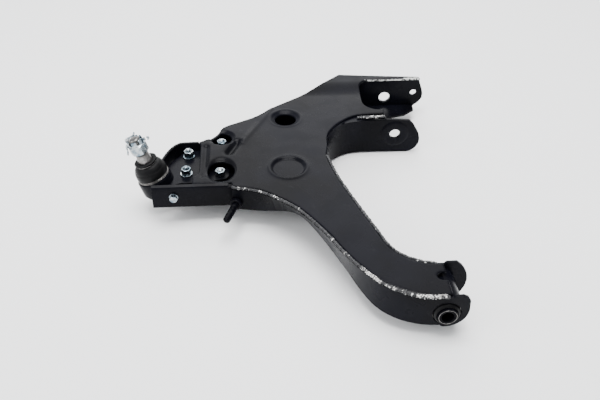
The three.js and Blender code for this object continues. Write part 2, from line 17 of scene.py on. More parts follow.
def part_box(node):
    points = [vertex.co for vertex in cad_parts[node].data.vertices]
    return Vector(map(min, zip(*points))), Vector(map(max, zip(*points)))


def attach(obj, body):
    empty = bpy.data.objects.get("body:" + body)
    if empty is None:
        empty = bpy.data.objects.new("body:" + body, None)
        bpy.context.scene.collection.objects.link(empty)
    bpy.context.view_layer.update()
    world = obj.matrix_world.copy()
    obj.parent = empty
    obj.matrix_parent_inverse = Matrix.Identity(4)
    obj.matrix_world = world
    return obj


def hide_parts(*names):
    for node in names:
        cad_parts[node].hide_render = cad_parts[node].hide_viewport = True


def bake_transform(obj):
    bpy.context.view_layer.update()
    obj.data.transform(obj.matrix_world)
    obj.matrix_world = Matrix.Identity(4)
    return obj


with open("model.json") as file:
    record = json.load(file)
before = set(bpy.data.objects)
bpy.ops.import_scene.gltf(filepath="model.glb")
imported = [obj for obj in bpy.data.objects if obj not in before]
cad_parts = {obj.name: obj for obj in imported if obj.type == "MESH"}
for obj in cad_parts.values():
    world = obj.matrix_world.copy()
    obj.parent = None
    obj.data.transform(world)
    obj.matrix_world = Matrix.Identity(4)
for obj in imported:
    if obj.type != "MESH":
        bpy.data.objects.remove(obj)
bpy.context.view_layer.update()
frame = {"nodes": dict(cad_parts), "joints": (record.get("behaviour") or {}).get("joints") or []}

log = logging.getLogger("control_arm")

Point2 = tuple[float, float]
Point3 = tuple[float, float, float]
Colour = tuple[float, float, float]

MM = 0.001
TURN = 2 * math.pi


# ------------------------------------------------------------------ names of bodies and slots
class Body(Enum):
    """Bodies of the frame that pieces ride on."""

    ARM = "arm"
    BOOT = "boot"
    COLLAR = "boot_collar"
    STUD = "ball_stud"
    SLEEVE = "bush_sleeve"


class Slot(Enum):
    """Material slots of the record."""

    COAT = "black_coat"
    WELD = "weld_bead"
    ZINC = "zinc_plate"
    STEEL = "raw_steel"
    RUBBER = "rubber"
    POLYMER = "seat_polymer"


# ------------------------------------------------------------------ finishes
class Tree:
    """Short way to add and join nodes in a material's tree."""

    def __init__(self, name: str) -> None:
        """Starts a material with an empty tree.

        Args:
            name: Name of the material.
        """
        self.material = bpy.data.materials.new(name)
        self.material.use_nodes = True
        self.nodes = self.material.node_tree.nodes
        self.links = self.material.node_tree.links
        self.nodes.clear()
        self.place = self.add("ShaderNodeTexCoord").outputs["Object"]

    def add(self, kind: str, inputs: dict | None = None, **settings: object) -> bpy.types.Node:
        """Adds a node and sets or joins its inputs.

        Args:
            kind: Node type.
            inputs: Values or output sockets, by input name or number.
            **settings: Properties of the node itself.

        Returns:
            The new node.
        """
        node = self.nodes.new(kind)
        for name, value in settings.items():
            setattr(node, name, value)
        for name, value in (inputs or {}).items():
            if isinstance(value, bpy.types.NodeSocket):
                self.links.new(value, node.inputs[name])
            else:
                node.inputs[name].default_value = value
        return node

    def noise(self, scale: float, detail: float = 3.0, stretch: Point3 | None = None) -> bpy.types.NodeSocket:
        """Noise in the object's own space.

        Args:
            scale: Features per metre.
            detail: Octaves.
            stretch: Scale of the coordinates along each axis, for streaks.

        Returns:
            The noise's value socket.
        """
        place = self.place
        if stretch:
            place = self.add("ShaderNodeMapping", {"Vector": place, "Scale": stretch}).outputs["Vector"]
        node = self.add("ShaderNodeTexNoise", {"Vector": place, "Scale": scale, "Detail": detail})
        return node.outputs["Fac"]

    def attribute(self, name: str) -> bpy.types.NodeSocket:
        """A value written on the mesh's points."""
        return self.add("ShaderNodeAttribute", attribute_name=name).outputs["Fac"]

    def total(self, first: bpy.types.NodeSocket, second: bpy.types.NodeSocket) -> bpy.types.NodeSocket:
        """Sum of two values."""
        return self.add("ShaderNodeMath", {0: first, 1: second}, operation="ADD").outputs["Value"]

    def remap(self, value: bpy.types.NodeSocket, low: float, high: float, to_low: float = 0.0,
              to_high: float = 1.0) -> bpy.types.NodeSocket:
        """Maps a value from one range to another, clamped and smooth.

        Args:
            value: Socket to map.
            low: Start of its range.
            high: End of its range.
            to_low: Result at the start.
            to_high: Result at the end.

        Returns:
            The result's socket.
        """
        node = self.add("ShaderNodeMapRange", {"Value": value, "From Min": low, "From Max": high,
                                               "To Min": to_low, "To Max": to_high},
                        interpolation_type="SMOOTHSTEP")
        return node.outputs["Result"]

    def mix(self, factor: bpy.types.NodeSocket, first: object, second: object) -> bpy.types.NodeSocket:
        """Mixes two colours, each given as a colour or a socket.

        Args:
            factor: 0 gives the first, 1 the second.
            first: First colour.
            second: Second colour.

        Returns:
            The mixed colour's socket.
        """
        node = self.add("ShaderNodeMix", data_type="RGBA")
        self.links.new(factor, node.inputs[0])
        for index, value in ((6, first), (7, second)):
            if isinstance(value, bpy.types.NodeSocket):
                self.links.new(value, node.inputs[index])
            else:
                node.inputs[index].default_value = (*value, 1.0)
        return node.outputs[2]

    def bump(self, height: bpy.types.NodeSocket, strength: float, distance: float,
             normal: bpy.types.NodeSocket | None = None) -> bpy.types.NodeSocket:
        """Turns a height into a surface normal.

        Args:
            height: Height, 0 to 1.
            strength: How much of it is used.
            distance: Height of 1, in metres.
            normal: Normal to start from.

        Returns:
            The normal's socket.
        """
        inputs = {"Height": height, "Strength": strength, "Distance": distance}
        if normal:
            inputs["Normal"] = normal
        return self.add("ShaderNodeBump", inputs).outputs["Normal"]

    def surface(self, **inputs: object) -> bpy.types.Material:
        """Ends the tree in a Principled shader.

        Args:
            **inputs: Shader inputs, with _ for a space in their names.

        Returns:
            The finished material.
        """
        named = {name.replace("_", " "): value for name, value in inputs.items()}
        shader = self.add("ShaderNodeBsdfPrincipled", named)
        self.add("ShaderNodeOutputMaterial", {"Surface": shader.outputs["BSDF"]})
        return self.material


@dataclass(frozen=True)
class CoatFinish:
    """Black electrocoat over pressed steel: satin, a little wavy, dusty in places, with small chips and a
    painted highlight along marked edges.
    """

    name: str = "black_electrocoat"
    deep: Colour = (0.0016, 0.0016, 0.0026)
    pale: Colour = (0.0036, 0.0038, 0.0064)
    dust: Colour = (0.016, 0.016, 0.019)
    # pale colour of the random chips, also used for the painted highlight along marked edges
    wear_and_highlight: Colour = (0.62, 0.62, 0.60)
    gloss: tuple[float, float] = (0.22, 0.36)
    wave_height: float = 0.0012
    peel_height: float = 0.00005
    specular: float = 0.055

    def material(self) -> bpy.types.Material:
        """Builds the material."""
        tree = Tree(self.name)
        cloud = tree.noise(11.0, 4.0)
        dust = tree.remap(tree.noise(150.0, 6.0), 0.60, 0.80, 0.0, 0.35)
        colour = tree.mix(tree.remap(cloud, 0.35, 0.65), self.deep, self.pale)
        colour = tree.mix(dust, colour, self.dust)
        # random chips from fine noise, plus a painted highlight where the pressing's marked attribute is high
        chips_and_highlight = tree.total(tree.attribute("wear_and_highlight"), tree.noise(360.0, 6.0))
        colour = tree.mix(tree.remap(chips_and_highlight, 0.92, 1.04), colour, self.wear_and_highlight)
        waves = tree.bump(tree.noise(13.0, 2.0), 0.30, self.wave_height)
        normal = tree.bump(tree.noise(900.0, 2.0), 0.35, self.peel_height, waves)
        rough = tree.remap(tree.noise(26.0, 3.0), 0.3, 0.7, *self.gloss)
        return tree.surface(Base_Color=colour, Roughness=rough, Normal=normal,
                            Specular_IOR_Level=self.specular)


@dataclass(frozen=True)
class MetalFinish:
    """Bare or plated metal with cloudy colour, fine grain and optional turning lines."""

    name: str
    first: Colour
    second: Colour
    gloss: tuple[float, float]
    grain_height: float = 0.00004
    stretch: Point3 | None = None

    def material(self) -> bpy.types.Material:
        """Builds the material."""
        tree = Tree(self.name)
        cloud = tree.remap(tree.noise(120.0, 4.0), 0.35, 0.65)
        stain = tree.remap(tree.noise(420.0, 5.0), 0.55, 0.75, 0.0, 0.5)
        colour = tree.mix(cloud, self.first, self.second)
        colour = tree.mix(stain, colour, tuple(part * 0.45 for part in self.first))
        rough = tree.remap(tree.noise(260.0, 4.0), 0.3, 0.7, *self.gloss)
        grain = tree.noise(1400.0, 3.0, self.stretch)
        return tree.surface(Base_Color=colour, Roughness=rough, Metallic=1.0,
                            Normal=tree.bump(grain, 0.5, self.grain_height))


@dataclass(frozen=True)
class RubberFinish:
    """Moulded rubber with a soft sheen, a fine grain and a light bloom."""

    name: str = "moulded_rubber"
    deep: Colour = (0.0022, 0.0022, 0.0026)
    bloom: Colour = (0.0070, 0.0070, 0.0078)
    gloss: tuple[float, float] = (0.34, 0.52)
    grain_height: float = 0.00006

    def material(self) -> bpy.types.Material:
        """Builds the material."""
        tree = Tree(self.name)
        colour = tree.mix(tree.remap(tree.noise(70.0, 5.0), 0.45, 0.75), self.deep, self.bloom)
        rough = tree.remap(tree.noise(45.0, 3.0), 0.3, 0.7, *self.gloss)
        normal = tree.bump(tree.noise(1100.0, 3.0), 0.5, self.grain_height)
        return tree.surface(Base_Color=colour, Roughness=rough, Normal=normal, Specular_IOR_Level=0.11)


@dataclass(frozen=True)
class WeldFinish:
    """Weld bead: coated black, with the coat missing where the attribute "bare" is high."""

    name: str = "weld_metal"
    coat: Colour = (0.006, 0.006, 0.008)
    bright: Colour = (0.86, 0.86, 0.84)
    burnt: Colour = (0.20, 0.19, 0.18)

    def material(self) -> bpy.types.Material:
        """Builds the material."""
        tree = Tree(self.name)
        fleck = tree.remap(tree.noise(210.0, 6.0), 0.25, 0.75, 0.12, 0.88)
        mask = tree.remap(tree.total(tree.attribute("bare"), fleck), 0.88, 1.02)
        metal = tree.mix(tree.remap(tree.noise(600.0, 4.0), 0.42, 0.62), self.burnt, self.bright)
        colour = tree.mix(mask, self.coat, metal)
        normal = tree.bump(tree.noise(520.0, 6.0), 1.0, 0.0006)
        return tree.surface(Base_Color=colour, Roughness=tree.remap(mask, 0.0, 1.0, 0.36, 0.50),
                            Metallic=tree.remap(mask, 0.0, 1.0, 0.0, 0.35), Normal=normal)


@dataclass(frozen=True)
class PolymerFinish:
    """Moulded acetal of the ball's seats."""

    name: str = "seat_acetal"
    light: Colour = (0.74, 0.70, 0.60)
    grease: Colour = (0.38, 0.30, 0.16)

    def material(self) -> bpy.types.Material:
        """Builds the material."""
        tree = Tree(self.name)
        colour = tree.mix(tree.remap(tree.noise(90.0, 4.0), 0.5, 0.8), self.light, self.grease)
        return tree.surface(Base_Color=colour, Roughness=tree.remap(tree.noise(60.0), 0.3, 0.7, 0.3, 0.5),
                            Normal=tree.bump(tree.noise(900.0), 0.4, 0.00004))


@dataclass(frozen=True)
class FloorFinish:
    """Pale matt backdrop paper."""

    name: str = "backdrop_paper"
    shade: Colour = (0.955, 0.955, 0.955)
    tint: Colour = (0.975, 0.975, 0.975)

    def material(self) -> bpy.types.Material:
        """Builds the material."""
        tree = Tree(self.name)
        colour = tree.mix(tree.noise(3.0), self.shade, self.tint)
        return tree.surface(Base_Color=colour, Roughness=0.9, Specular_IOR_Level=0.1)


class Palette:
    """The finished materials, one for each slot."""

    def __init__(self) -> None:
        """Builds every material once."""
        self.by_slot = {
            Slot.COAT: CoatFinish().material(),
            Slot.WELD: WeldFinish().material(),
            Slot.ZINC: MetalFinish("zinc_plating", (0.46, 0.50, 0.52), (0.13, 0.18, 0.22),
                                   (0.14, 0.30)).material(),
            Slot.STEEL: MetalFinish("machined_steel", (0.30, 0.29, 0.28), (0.15, 0.145, 0.14), (0.28, 0.44),
                                    0.00006, (0.3, 0.3, 3.0)).material(),
            Slot.RUBBER: RubberFinish().material(),
            Slot.POLYMER: PolymerFinish().material(),
        }

    def __getitem__(self, slot: Slot) -> bpy.types.Material:
        """The material of a slot."""
        return self.by_slot[slot]


# ------------------------------------------------------------------ shapes
@dataclass(frozen=True)
class Placement:
    """A local frame in millimetres, and where it lies in the part."""

    matrix: Matrix

    @classmethod
    def along(cls, origin: Vector, axis: Vector, side: Vector = Vector((1, 0, 0))) -> "Placement":
        """Frame whose Z runs along an axis.

        Args:
            origin: Its origin, in metres.
            axis: Direction of its Z.
            side: Direction near its X.

        Returns:
            The placement.
        """
        z = axis.normalized()
        y = z.cross(side).normalized()
        x = y.cross(z)
        turn = Matrix((x, y, z)).transposed().to_4x4()
        return cls(Matrix.Translation(origin) @ turn @ Matrix.Scale(MM, 4))

    def moved(self, x: float = 0.0, y: float = 0.0, z: float = 0.0) -> "Placement":
        """The same frame moved by millimetres along its own axes."""
        return Placement(self.matrix @ Matrix.Translation((x, y, z)))

    def turned(self, angle: float) -> "Placement":
        """The same frame turned about its own Z, in radians."""
        return Placement(self.matrix @ Matrix.Rotation(angle, 4, "Z"))


@dataclass
class Shape:
    """Points and faces in a local frame, in millimetres."""

    points: list[Point3] = field(default_factory=list)
    faces: list[tuple[int, ...]] = field(default_factory=list)

    def add(self, other: "Shape") -> "Shape":
        """Adds another shape's points and faces, and returns this shape."""
        base = len(self.points)
        self.points.extend(other.points)
        self.faces.extend(tuple(i + base for i in loop) for loop in other.faces)
        return self

    def object(self, name: str, place: Placement, material: bpy.types.Material,
               sharp: float = 32.0) -> bpy.types.Object:
        """Makes a smooth object of the shape, with its faces pointing out.

        Args:
            name: Name of the object.
            place: Where the local frame lies.
            material: Its material.
            sharp: Edges of a larger angle than this stay sharp, in degrees.

        Returns:
            The object, at the origin, with its place in its mesh.
        """
        mesh = bpy.data.meshes.new(name)
        mesh.from_pydata([place.matrix @ Vector(p) for p in self.points], [], self.faces)
        build = bmesh.new()
        build.from_mesh(mesh)
        bmesh.ops.remove_doubles(build, verts=build.verts, dist=1e-6)
        bmesh.ops.recalc_face_normals(build, faces=build.faces)
        build.to_mesh(mesh)
        build.free()
        return dressed(new_object(name, mesh), material, sharp)


def new_object(name: str, mesh: bpy.types.Mesh) -> bpy.types.Object:
    """Links a mesh to the scene under a name."""
    piece = bpy.data.objects.new(name, mesh)
    bpy.context.scene.collection.objects.link(piece)
    return piece


def dressed(piece: bpy.types.Object, material: bpy.types.Material, sharp: float = 32.0) -> bpy.types.Object:
    """Gives an object one material and smooth shading.

    Args:
        piece: The object.
        material: Its material.
        sharp: Edges of a larger angle than this stay sharp, in degrees.

    Returns:
        The same object.
    """
    piece.data.materials.clear()
    piece.data.materials.append(material)
    piece.data.shade_smooth()
    piece.data.set_sharp_from_angle(angle=math.radians(sharp))
    return piece


def baked(piece: bpy.types.Object) -> bpy.types.Object:
    """Replaces an object's mesh by the result of its modifiers, and removes them."""
    bpy.context.view_layer.update()
    graph = bpy.context.evaluated_depsgraph_get()
    mesh = bpy.data.meshes.new_from_object(piece.evaluated_get(graph), depsgraph=graph)
    piece.modifiers.clear()
    old = piece.data
    piece.data = mesh
    if isinstance(old, bpy.types.Mesh):
        bpy.data.meshes.remove(old)
    return piece


def fillet(profile: Sequence[Point2], radius: float, closed: bool = True, steps: int = 3) -> list[Point2]:
    """Rounds the corners of an outline.

    Args:
        profile: Its corners.
        radius: Largest distance that a corner is cut back.
        closed: Whether the last corner joins the first.
        steps: Points on each rounded corner, less one.

    Returns:
        The rounded outline.
    """
    count = len(profile)
    result: list[Point2] = []
    for i, corner in enumerate(profile):
        here = Vector(corner)
        if not closed and i in (0, count - 1):
            result.append(corner)
            continue
        before = Vector(profile[i - 1]) - here
        after = Vector(profile[(i + 1) % count]) - here
        reach = min(radius, before.length * 0.45, after.length * 0.45)
        start = here + before.normalized() * reach
        end = here + after.normalized() * reach
        for k in range(steps + 1):
            t = k / steps
            point = start * (1 - t) ** 2 + here * (2 * t * (1 - t)) + end * t ** 2
            result.append((point.x, point.y))
    return result


def lathe(profile: Sequence[Point2], closed: bool = True, steps: int = 96) -> Shape:
    """Turns a profile about Z.

    Args:
        profile: Points as radius and height.
        closed: Whether the last point joins the first; if not, both lie on the axis.
        steps: Sides of the turned shape.

    Returns:
        The turned shape.
    """
    shape = Shape()
    rings: list[list[int]] = []
    for r, z in profile:
        sides = steps if r > 1e-6 else 1
        base = len(shape.points)
        shape.points.extend((r * math.cos(TURN * k / sides), r * math.sin(TURN * k / sides), z)
                            for k in range(sides))
        rings.append([base + k % sides for k in range(steps)])
    pairs = list(zip(rings, rings[1:]))
    if closed:
        pairs.append((rings[-1], rings[0]))
    for low, high in pairs:
        for k in range(steps):
            n = (k + 1) % steps
            loop = tuple(dict.fromkeys((low[k], low[n], high[n], high[k])))
            if len(loop) > 2:
                shape.faces.append(loop)
    return shape


def wire_ring(reach: float, height: float, radius: float, sides: int = 12) -> Shape:
    """Round wire bent into a ring.

    Args:
        reach: Radius of the ring's middle line.
        height: Height of the ring.
        radius: Radius of the wire.
        sides: Points round the wire.

    Returns:
        The ring.
    """
    return lathe([(reach + radius * math.cos(TURN * k / sides), height + radius * math.sin(TURN * k / sides))
                  for k in range(sides)])


def hexagon(flats: float, base: float, top: float, bore: float, steps: int = 96,
            washer: float = 0.0) -> Shape:
    """Hexagonal nut or head with chamfered corners.

    Args:
        flats: Size across its flats.
        base: Height of its lower face.
        top: Height of its upper face.
        bore: Radius of its hole, or 0 for a solid head.
        steps: Points round it.
        washer: Height of a round face under it.

    Returns:
        The shape, with a corner on X.
    """
    inscribed = flats / 2
    crown = inscribed * 0.95
    slope = math.tan(math.radians(30))
    rows: list[Callable[[float], Point2]] = [
        lambda edge: (crown, base), lambda edge: (crown, base + washer),
        lambda edge: (edge, base + washer + max(0.0, edge - crown) * slope),
        lambda edge: (edge, top - max(0.0, edge - crown) * slope),
        lambda edge: (crown, top),
    ]
    if bore:
        lip = 0.9
        rows += [lambda edge: (bore + lip, top), lambda edge: (bore, top - lip),
                 lambda edge: (bore, base + lip), lambda edge: (bore + lip, base)]
    else:
        rows = [lambda edge: (0.0, base), *rows, lambda edge: (0.0, top)]
    shape = Shape()
    for row in rows:
        for k in range(steps):
            angle = TURN * k / steps
            within = (angle + math.pi / 6) % (math.pi / 3) - math.pi / 6
            edge = inscribed / math.cos(math.pi / 6 - abs(within))
            edge = min(edge, inscribed * 1.14)
            r, z = row(edge)
            shape.points.append((r * math.cos(angle), r * math.sin(angle), z))
    pairs = [(i, i + 1) for i in range(len(rows) - 1)]
    if bore:
        pairs.append((len(rows) - 1, 0))
    for low, high in pairs:
        for k in range(steps):
            n = (k + 1) % steps
            shape.faces.append((low * steps + k, low * steps + n, high * steps + n, high * steps + k))
    return shape


def smooth_path(points: Sequence[Point3], steps: int = 8) -> list[Vector]:
    """Curve through a few points.

    Args:
        points: Points that it passes through.
        steps: Steps between two of them.

    Returns:
        Points on the curve.
    """
    knots = [Vector(p) for p in points]
    ends = [2 * knots[0] - knots[1], *knots, 2 * knots[-1] - knots[-2]]
    line = []
    for a, b, c, d in zip(ends, ends[1:], ends[2:], ends[3:]):
        for k in range(steps):
            t = k / steps
            line.append(0.5 * (2 * b + (c - a) * t + (2 * a - 5 * b + 4 * c - d) * t ** 2
                               + (3 * b - a - 3 * c + d) * t ** 3))
    return [*line, knots[-1]]


def rod(path: Sequence[Vector], radius: float, sides: int = 12, taper: float = 0.5) -> Shape:
    """Round wire along a path, with both ends drawn in.

    Args:
        path: Points of its centre line.
        radius: Its radius.
        sides: Points round it.
        taper: Radius of its end faces, as a share of the radius.

    Returns:
        The closed shape.
    """
    shape = Shape()
    side = Vector((0, 1, 0))
    count = len(path)
    for i, centre in enumerate(path):
        ahead = (path[min(i + 1, count - 1)] - path[max(i - 1, 0)]).normalized()
        across = ahead.cross(side).normalized()
        side = across.cross(ahead).normalized()
        reach = radius * (taper if i in (0, count - 1) else 1.0)
        for k in range(sides):
            angle = TURN * k / sides
            point = centre + (across * math.cos(angle) + side * math.sin(angle)) * reach
            shape.points.append(tuple(point))
    for i in range(count - 1):
        for k in range(sides):
            n = (k + 1) % sides
            shape.faces.append((i * sides + k, i * sides + n, (i + 1) * sides + n, (i + 1) * sides + k))
    shape.faces.append(tuple(range(sides)))
    shape.faces.append(tuple((count - 1) * sides + k for k in range(sides)))
    return shape


def smoothstep(value: np.ndarray) -> np.ndarray:
    """0 below 0, 1 above 1, and smooth between."""
    clipped = np.clip(value, 0.0, 1.0)
    return clipped * clipped * (3 - 2 * clipped)


# ------------------------------------------------------------------ geometry node trees
class NodeTree:
    """Short way to build a geometry node tree with named inputs."""

    def __init__(self, name: str) -> None:
        """Starts a tree that takes and gives a geometry.

        Args:
            name: Name of the tree.
        """
        self.tree = bpy.data.node_groups.new(name, "GeometryNodeTree")
        self.tree.interface.new_socket(name="Geometry", in_out="INPUT", socket_type="NodeSocketGeometry")
        self.tree.interface.new_socket(name="Geometry", in_out="OUTPUT", socket_type="NodeSocketGeometry")
        self.inlet = self.tree.nodes.new("NodeGroupInput")
        self.outlet = self.tree.nodes.new("NodeGroupOutput")
        self.values: dict[str, object] = {}
        self.sockets: dict[str, str] = {}

    def size(self, name: str, value: object, kind: str = "NodeSocketFloat") -> bpy.types.NodeSocket:
        """Adds a named input.

        Args:
            name: Its name.
            value: Its value.
            kind: Its socket type.

        Returns:
            The socket that carries it inside the tree.
        """
        socket = self.tree.interface.new_socket(name=name, in_out="INPUT", socket_type=kind)
        self.values[name] = value
        self.sockets[name] = socket.identifier
        return self.inlet.outputs[name]

    def add(self, kind: str, inputs: dict | None = None, **settings: object) -> bpy.types.Node:
        """Adds a node and sets or joins its inputs.

        Args:
            kind: Node type.
            inputs: Values or output sockets, by input name or number.
            **settings: Properties of the node itself.

        Returns:
            The new node.
        """
        node = self.tree.nodes.new(kind)
        for name, value in settings.items():
            setattr(node, name, value)
        for name, value in (inputs or {}).items():
            if isinstance(value, bpy.types.NodeSocket):
                self.tree.links.new(value, node.inputs[name])
            else:
                node.inputs[name].default_value = value
        return node

    def join(self, *parts: bpy.types.NodeSocket) -> bpy.types.NodeSocket:
        """Joins geometries into one."""
        node = self.add("GeometryNodeJoinGeometry")
        for part in parts:
            self.tree.links.new(part, node.inputs[0])
        return node.outputs[0]

    def finish(self, geometry: bpy.types.NodeSocket, material: bpy.types.Material) -> None:
        """Ends the tree in Realize Instances and Set Material.

        Args:
            geometry: What it gives.
            material: Material of the result.
        """
        real = self.add("GeometryNodeRealizeInstances", {"Geometry": geometry})
        painted = self.add("GeometryNodeSetMaterial", {"Geometry": real.outputs[0], "Material": material})
        self.tree.links.new(painted.outputs[0], self.outlet.inputs[0])

    def apply(self, piece: bpy.types.Object) -> bpy.types.Object:
        """Runs the tree on an object and keeps the result as its plain mesh."""
        modifier = piece.modifiers.new(self.tree.name, "NODES")
        modifier.node_group = self.tree
        for name, value in self.values.items():
            modifier[self.sockets[name]] = value
        return baked(piece)


@dataclass(frozen=True)
class Thread:
    """Screw thread as a ridge wound round a core."""

    radius: float
    pitch: float
    base: float
    top: float

    def shape(self, name: str, material: bpy.types.Material) -> Shape:
        """Winds the ridge with geometry nodes.

        Args:
            name: Name of the tree.
            material: Material of the ridge.

        Returns:
            The ridge, in its local frame.
        """
        tree = NodeTree(name)
        depth = self.pitch * 0.52
        turns = tree.size("Turns", (self.top - self.base) / self.pitch)
        height = tree.size("Height", self.top - self.base)
        middle = tree.size("Middle radius", self.radius - depth * 0.55)
        ridge = tree.size("Ridge radius", depth)
        spiral = tree.add("GeometryNodeCurveSpiral", {
            "Resolution": 28, "Rotations": turns, "Start Radius": middle, "End Radius": middle,
            "Height": height})
        section = tree.add("GeometryNodeCurvePrimitiveCircle", {"Resolution": 4, "Radius": ridge})
        solid = tree.add("GeometryNodeCurveToMesh", {"Curve": spiral.outputs[0],
                                                     "Profile Curve": section.outputs[0], "Fill Caps": True})
        tree.finish(solid.outputs[0], material)
        piece = tree.apply(new_object(name, bpy.data.meshes.new(name)))
        limit = self.radius
        points = []
        for vertex in piece.data.vertices:
            x, y, z = vertex.co
            reach = min(1.0, limit / max(math.hypot(x, y), 1e-6))
            points.append((x * reach, y * reach, min(max(z, 0.0), self.top - self.base) + self.base))
        faces = [tuple(face.vertices) for face in piece.data.polygons]
        bpy.data.objects.remove(piece)
        return Shape(points, faces)


# ------------------------------------------------------------------ pieces in the scene
class Fitter:
    """Puts finished pieces on their bodies and reports them."""

    def __init__(self, palette: Palette) -> None:
        """Keeps the materials.

        Args:
            palette: Materials by slot.
        """
        self.palette = palette
        self.count = 0

    def fit(self, piece: bpy.types.Object, body: Body, slot: Slot, *nodes: str) -> bpy.types.Object:
        """Makes a piece ride on a body and stand for its nodes.

        Args:
            piece: The finished piece.
            body: Body that it rides on.
            slot: Not used.
            *nodes: Nodes that it stands for.

        Returns:
            The same piece.
        """
        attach(piece, body.value)
        return self.declare(piece, slot, *nodes)

    def make(self, shape: Shape, name: str, place: Placement, body: Body, slot: Slot, *nodes: str,
             sharp: float = 32.0) -> bpy.types.Object:
        """Makes an object of a shape in its slot's finish, and fits it.

        Args:
            shape: The shape.
            name: Name of the object.
            place: Where the shape's local frame lies.
            body: Body that it rides on.
            slot: Slot that it takes its finish from.
            *nodes: Nodes that it stands for.
            sharp: Edges of a larger angle than this stay sharp, in degrees.

        Returns:
            The piece.
        """
        return self.fit(shape.object(name, place, self.palette[slot], sharp), body, slot, *nodes)

    def ease(self, node: str, name: str, width: float, slot: Slot) -> bpy.types.Object:
        """Makes a copy of a node with eased edges in its slot's finish, and fits it to the arm.

        Args:
            node: The node.
            name: Name of the object.
            width: Width of the eased edges, in millimetres.
            slot: Slot that it takes its finish from.

        Returns:
            The piece.
        """
        return self.fit(eased_copy(node, name, self.palette[slot], width), Body.ARM, slot, node)

    def bend(self, piece: bpy.types.Object, bodies: tuple[Body, Body], start: Vector, end: Vector,
             slot: Slot, *nodes: str) -> bpy.types.Object:
        """Bakes a soft piece's placement into its mesh and hides the nodes that it stands for.

        Args:
            piece: The finished piece.
            bodies: Not used.
            start: Not used.
            end: Not used.
            slot: Not used.
            *nodes: Nodes that it stands for.

        Returns:
            The same piece.
        """
        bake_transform(piece)
        return self.declare(piece, slot, *nodes)

    def declare(self, piece: bpy.types.Object, slot: Slot, *nodes: str) -> bpy.types.Object:
        """Hides the nodes that a piece stands for, and reports it."""
        if nodes:
            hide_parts(*nodes)
        self.count += 1
        log.info("%s: %d faces", piece.name, len(piece.data.polygons))
        return piece


@dataclass(frozen=True)
class Datum:
    """Drawing frame of the arm: millimetres, Z = 0 on the upper face of the upper pressing."""

    offset: Vector

    @classmethod
    def from_bush(cls) -> "Datum":
        """Finds the drawing frame from the pivot bush's sleeve."""
        low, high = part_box("bush_inner_sleeve")
        sleeve = Vector((164.0, -162.5, -29.0)) * MM
        return cls((low + high) / 2 - sleeve)

    def place(self, x: float = 0.0, y: float = 0.0, z: float = 0.0) -> Placement:
        """Frame at a point, with the part's own directions."""
        return Placement(Matrix.Translation(self.at(x, y, z)) @ Matrix.Scale(MM, 4))

    def at(self, x: float, y: float, z: float) -> Vector:
        """A point of the drawing, in the part's metres."""
        return self.offset + Vector((x, y, z)) * MM

    def drawn(self, point: Vector) -> Vector:
        """A point of the part, in the drawing's millimetres."""
        return (point - self.offset) / MM


def merged(node: str) -> bmesh.types.BMesh:
    """A node's mesh with its loose triangles joined, as a copy to work on."""
    build = bmesh.new()
    build.from_mesh(frame["nodes"][node].data)
    bmesh.ops.remove_doubles(build, verts=build.verts, dist=1e-5)
    return build


def eased_copy(node: str, name: str, material: bpy.types.Material, ease: float = 0.8) -> bpy.types.Object:
    """Copy of a node with its sharp edges rounded, as sheet and castings have them.

    Args:
        node: The node.
        name: Name of the copy.
        material: Its material.
        ease: Width of the rounded edges, in millimetres.

    Returns:
        The copy.
    """
    build = merged(node)
    bmesh.ops.dissolve_limit(build, angle_limit=math.radians(0.6), verts=build.verts, edges=build.edges)
    build.verts.index_update()
    points = [vertex.co.copy() for vertex in build.verts]
    faces = [tuple(vertex.index for vertex in face.verts) for face in build.faces]
    build.free()
    mesh = bpy.data.meshes.new(name)
    mesh.from_pydata(points, [], faces)
    piece = new_object(name, mesh)
    mesh.shade_smooth()
    bevel = piece.modifiers.new("ease", "BEVEL")
    bevel.width = ease * MM
    bevel.segments = 2
    bevel.limit_method = "ANGLE"
    bevel.angle_limit = math.radians(34)
    weighted = piece.modifiers.new("flat_faces", "WEIGHTED_NORMAL")
    weighted.weight = 100
    weighted.keep_sharp = False
    baked(piece)
    piece.data.materials.clear()
    piece.data.materials.append(material)
    return piece


# ------------------------------------------------------------------ upper pressing
@dataclass(frozen=True)
class Joggle:
    """Smooth step along the arm, where the upper face rises towards the clevis."""

    start: float = 276.0
    length: float = 38.0
    rise: float = 6.0
    reach: float = 21.0

    def height(self, y: np.ndarray | float) -> np.ndarray | float:
        """Height of the face at one place along the arm, or at many."""
        return self.rise * smoothstep((y - self.start) / self.length)

    def near(self, y: np.ndarray) -> np.ndarray:
        """Whether places along the arm are near enough to the step to need the fine grid."""
        return np.abs(y - (self.start + self.length / 2)) < self.reach


@dataclass(frozen=True)
class Furrow:
    """Rounded crease along a line: how far up or down, how wide, and how far the fine grid goes."""

    line: tuple[Point2, Point2]
    height: float
    width: float
    reach: float


@dataclass(frozen=True)
class HighlightStrip:
    """Strip along a line where a highlight is painted in the coat's pale chip colour: its width and its
    strength.
    """

    line: tuple[Point2, Point2]
    width: float
    strength: float


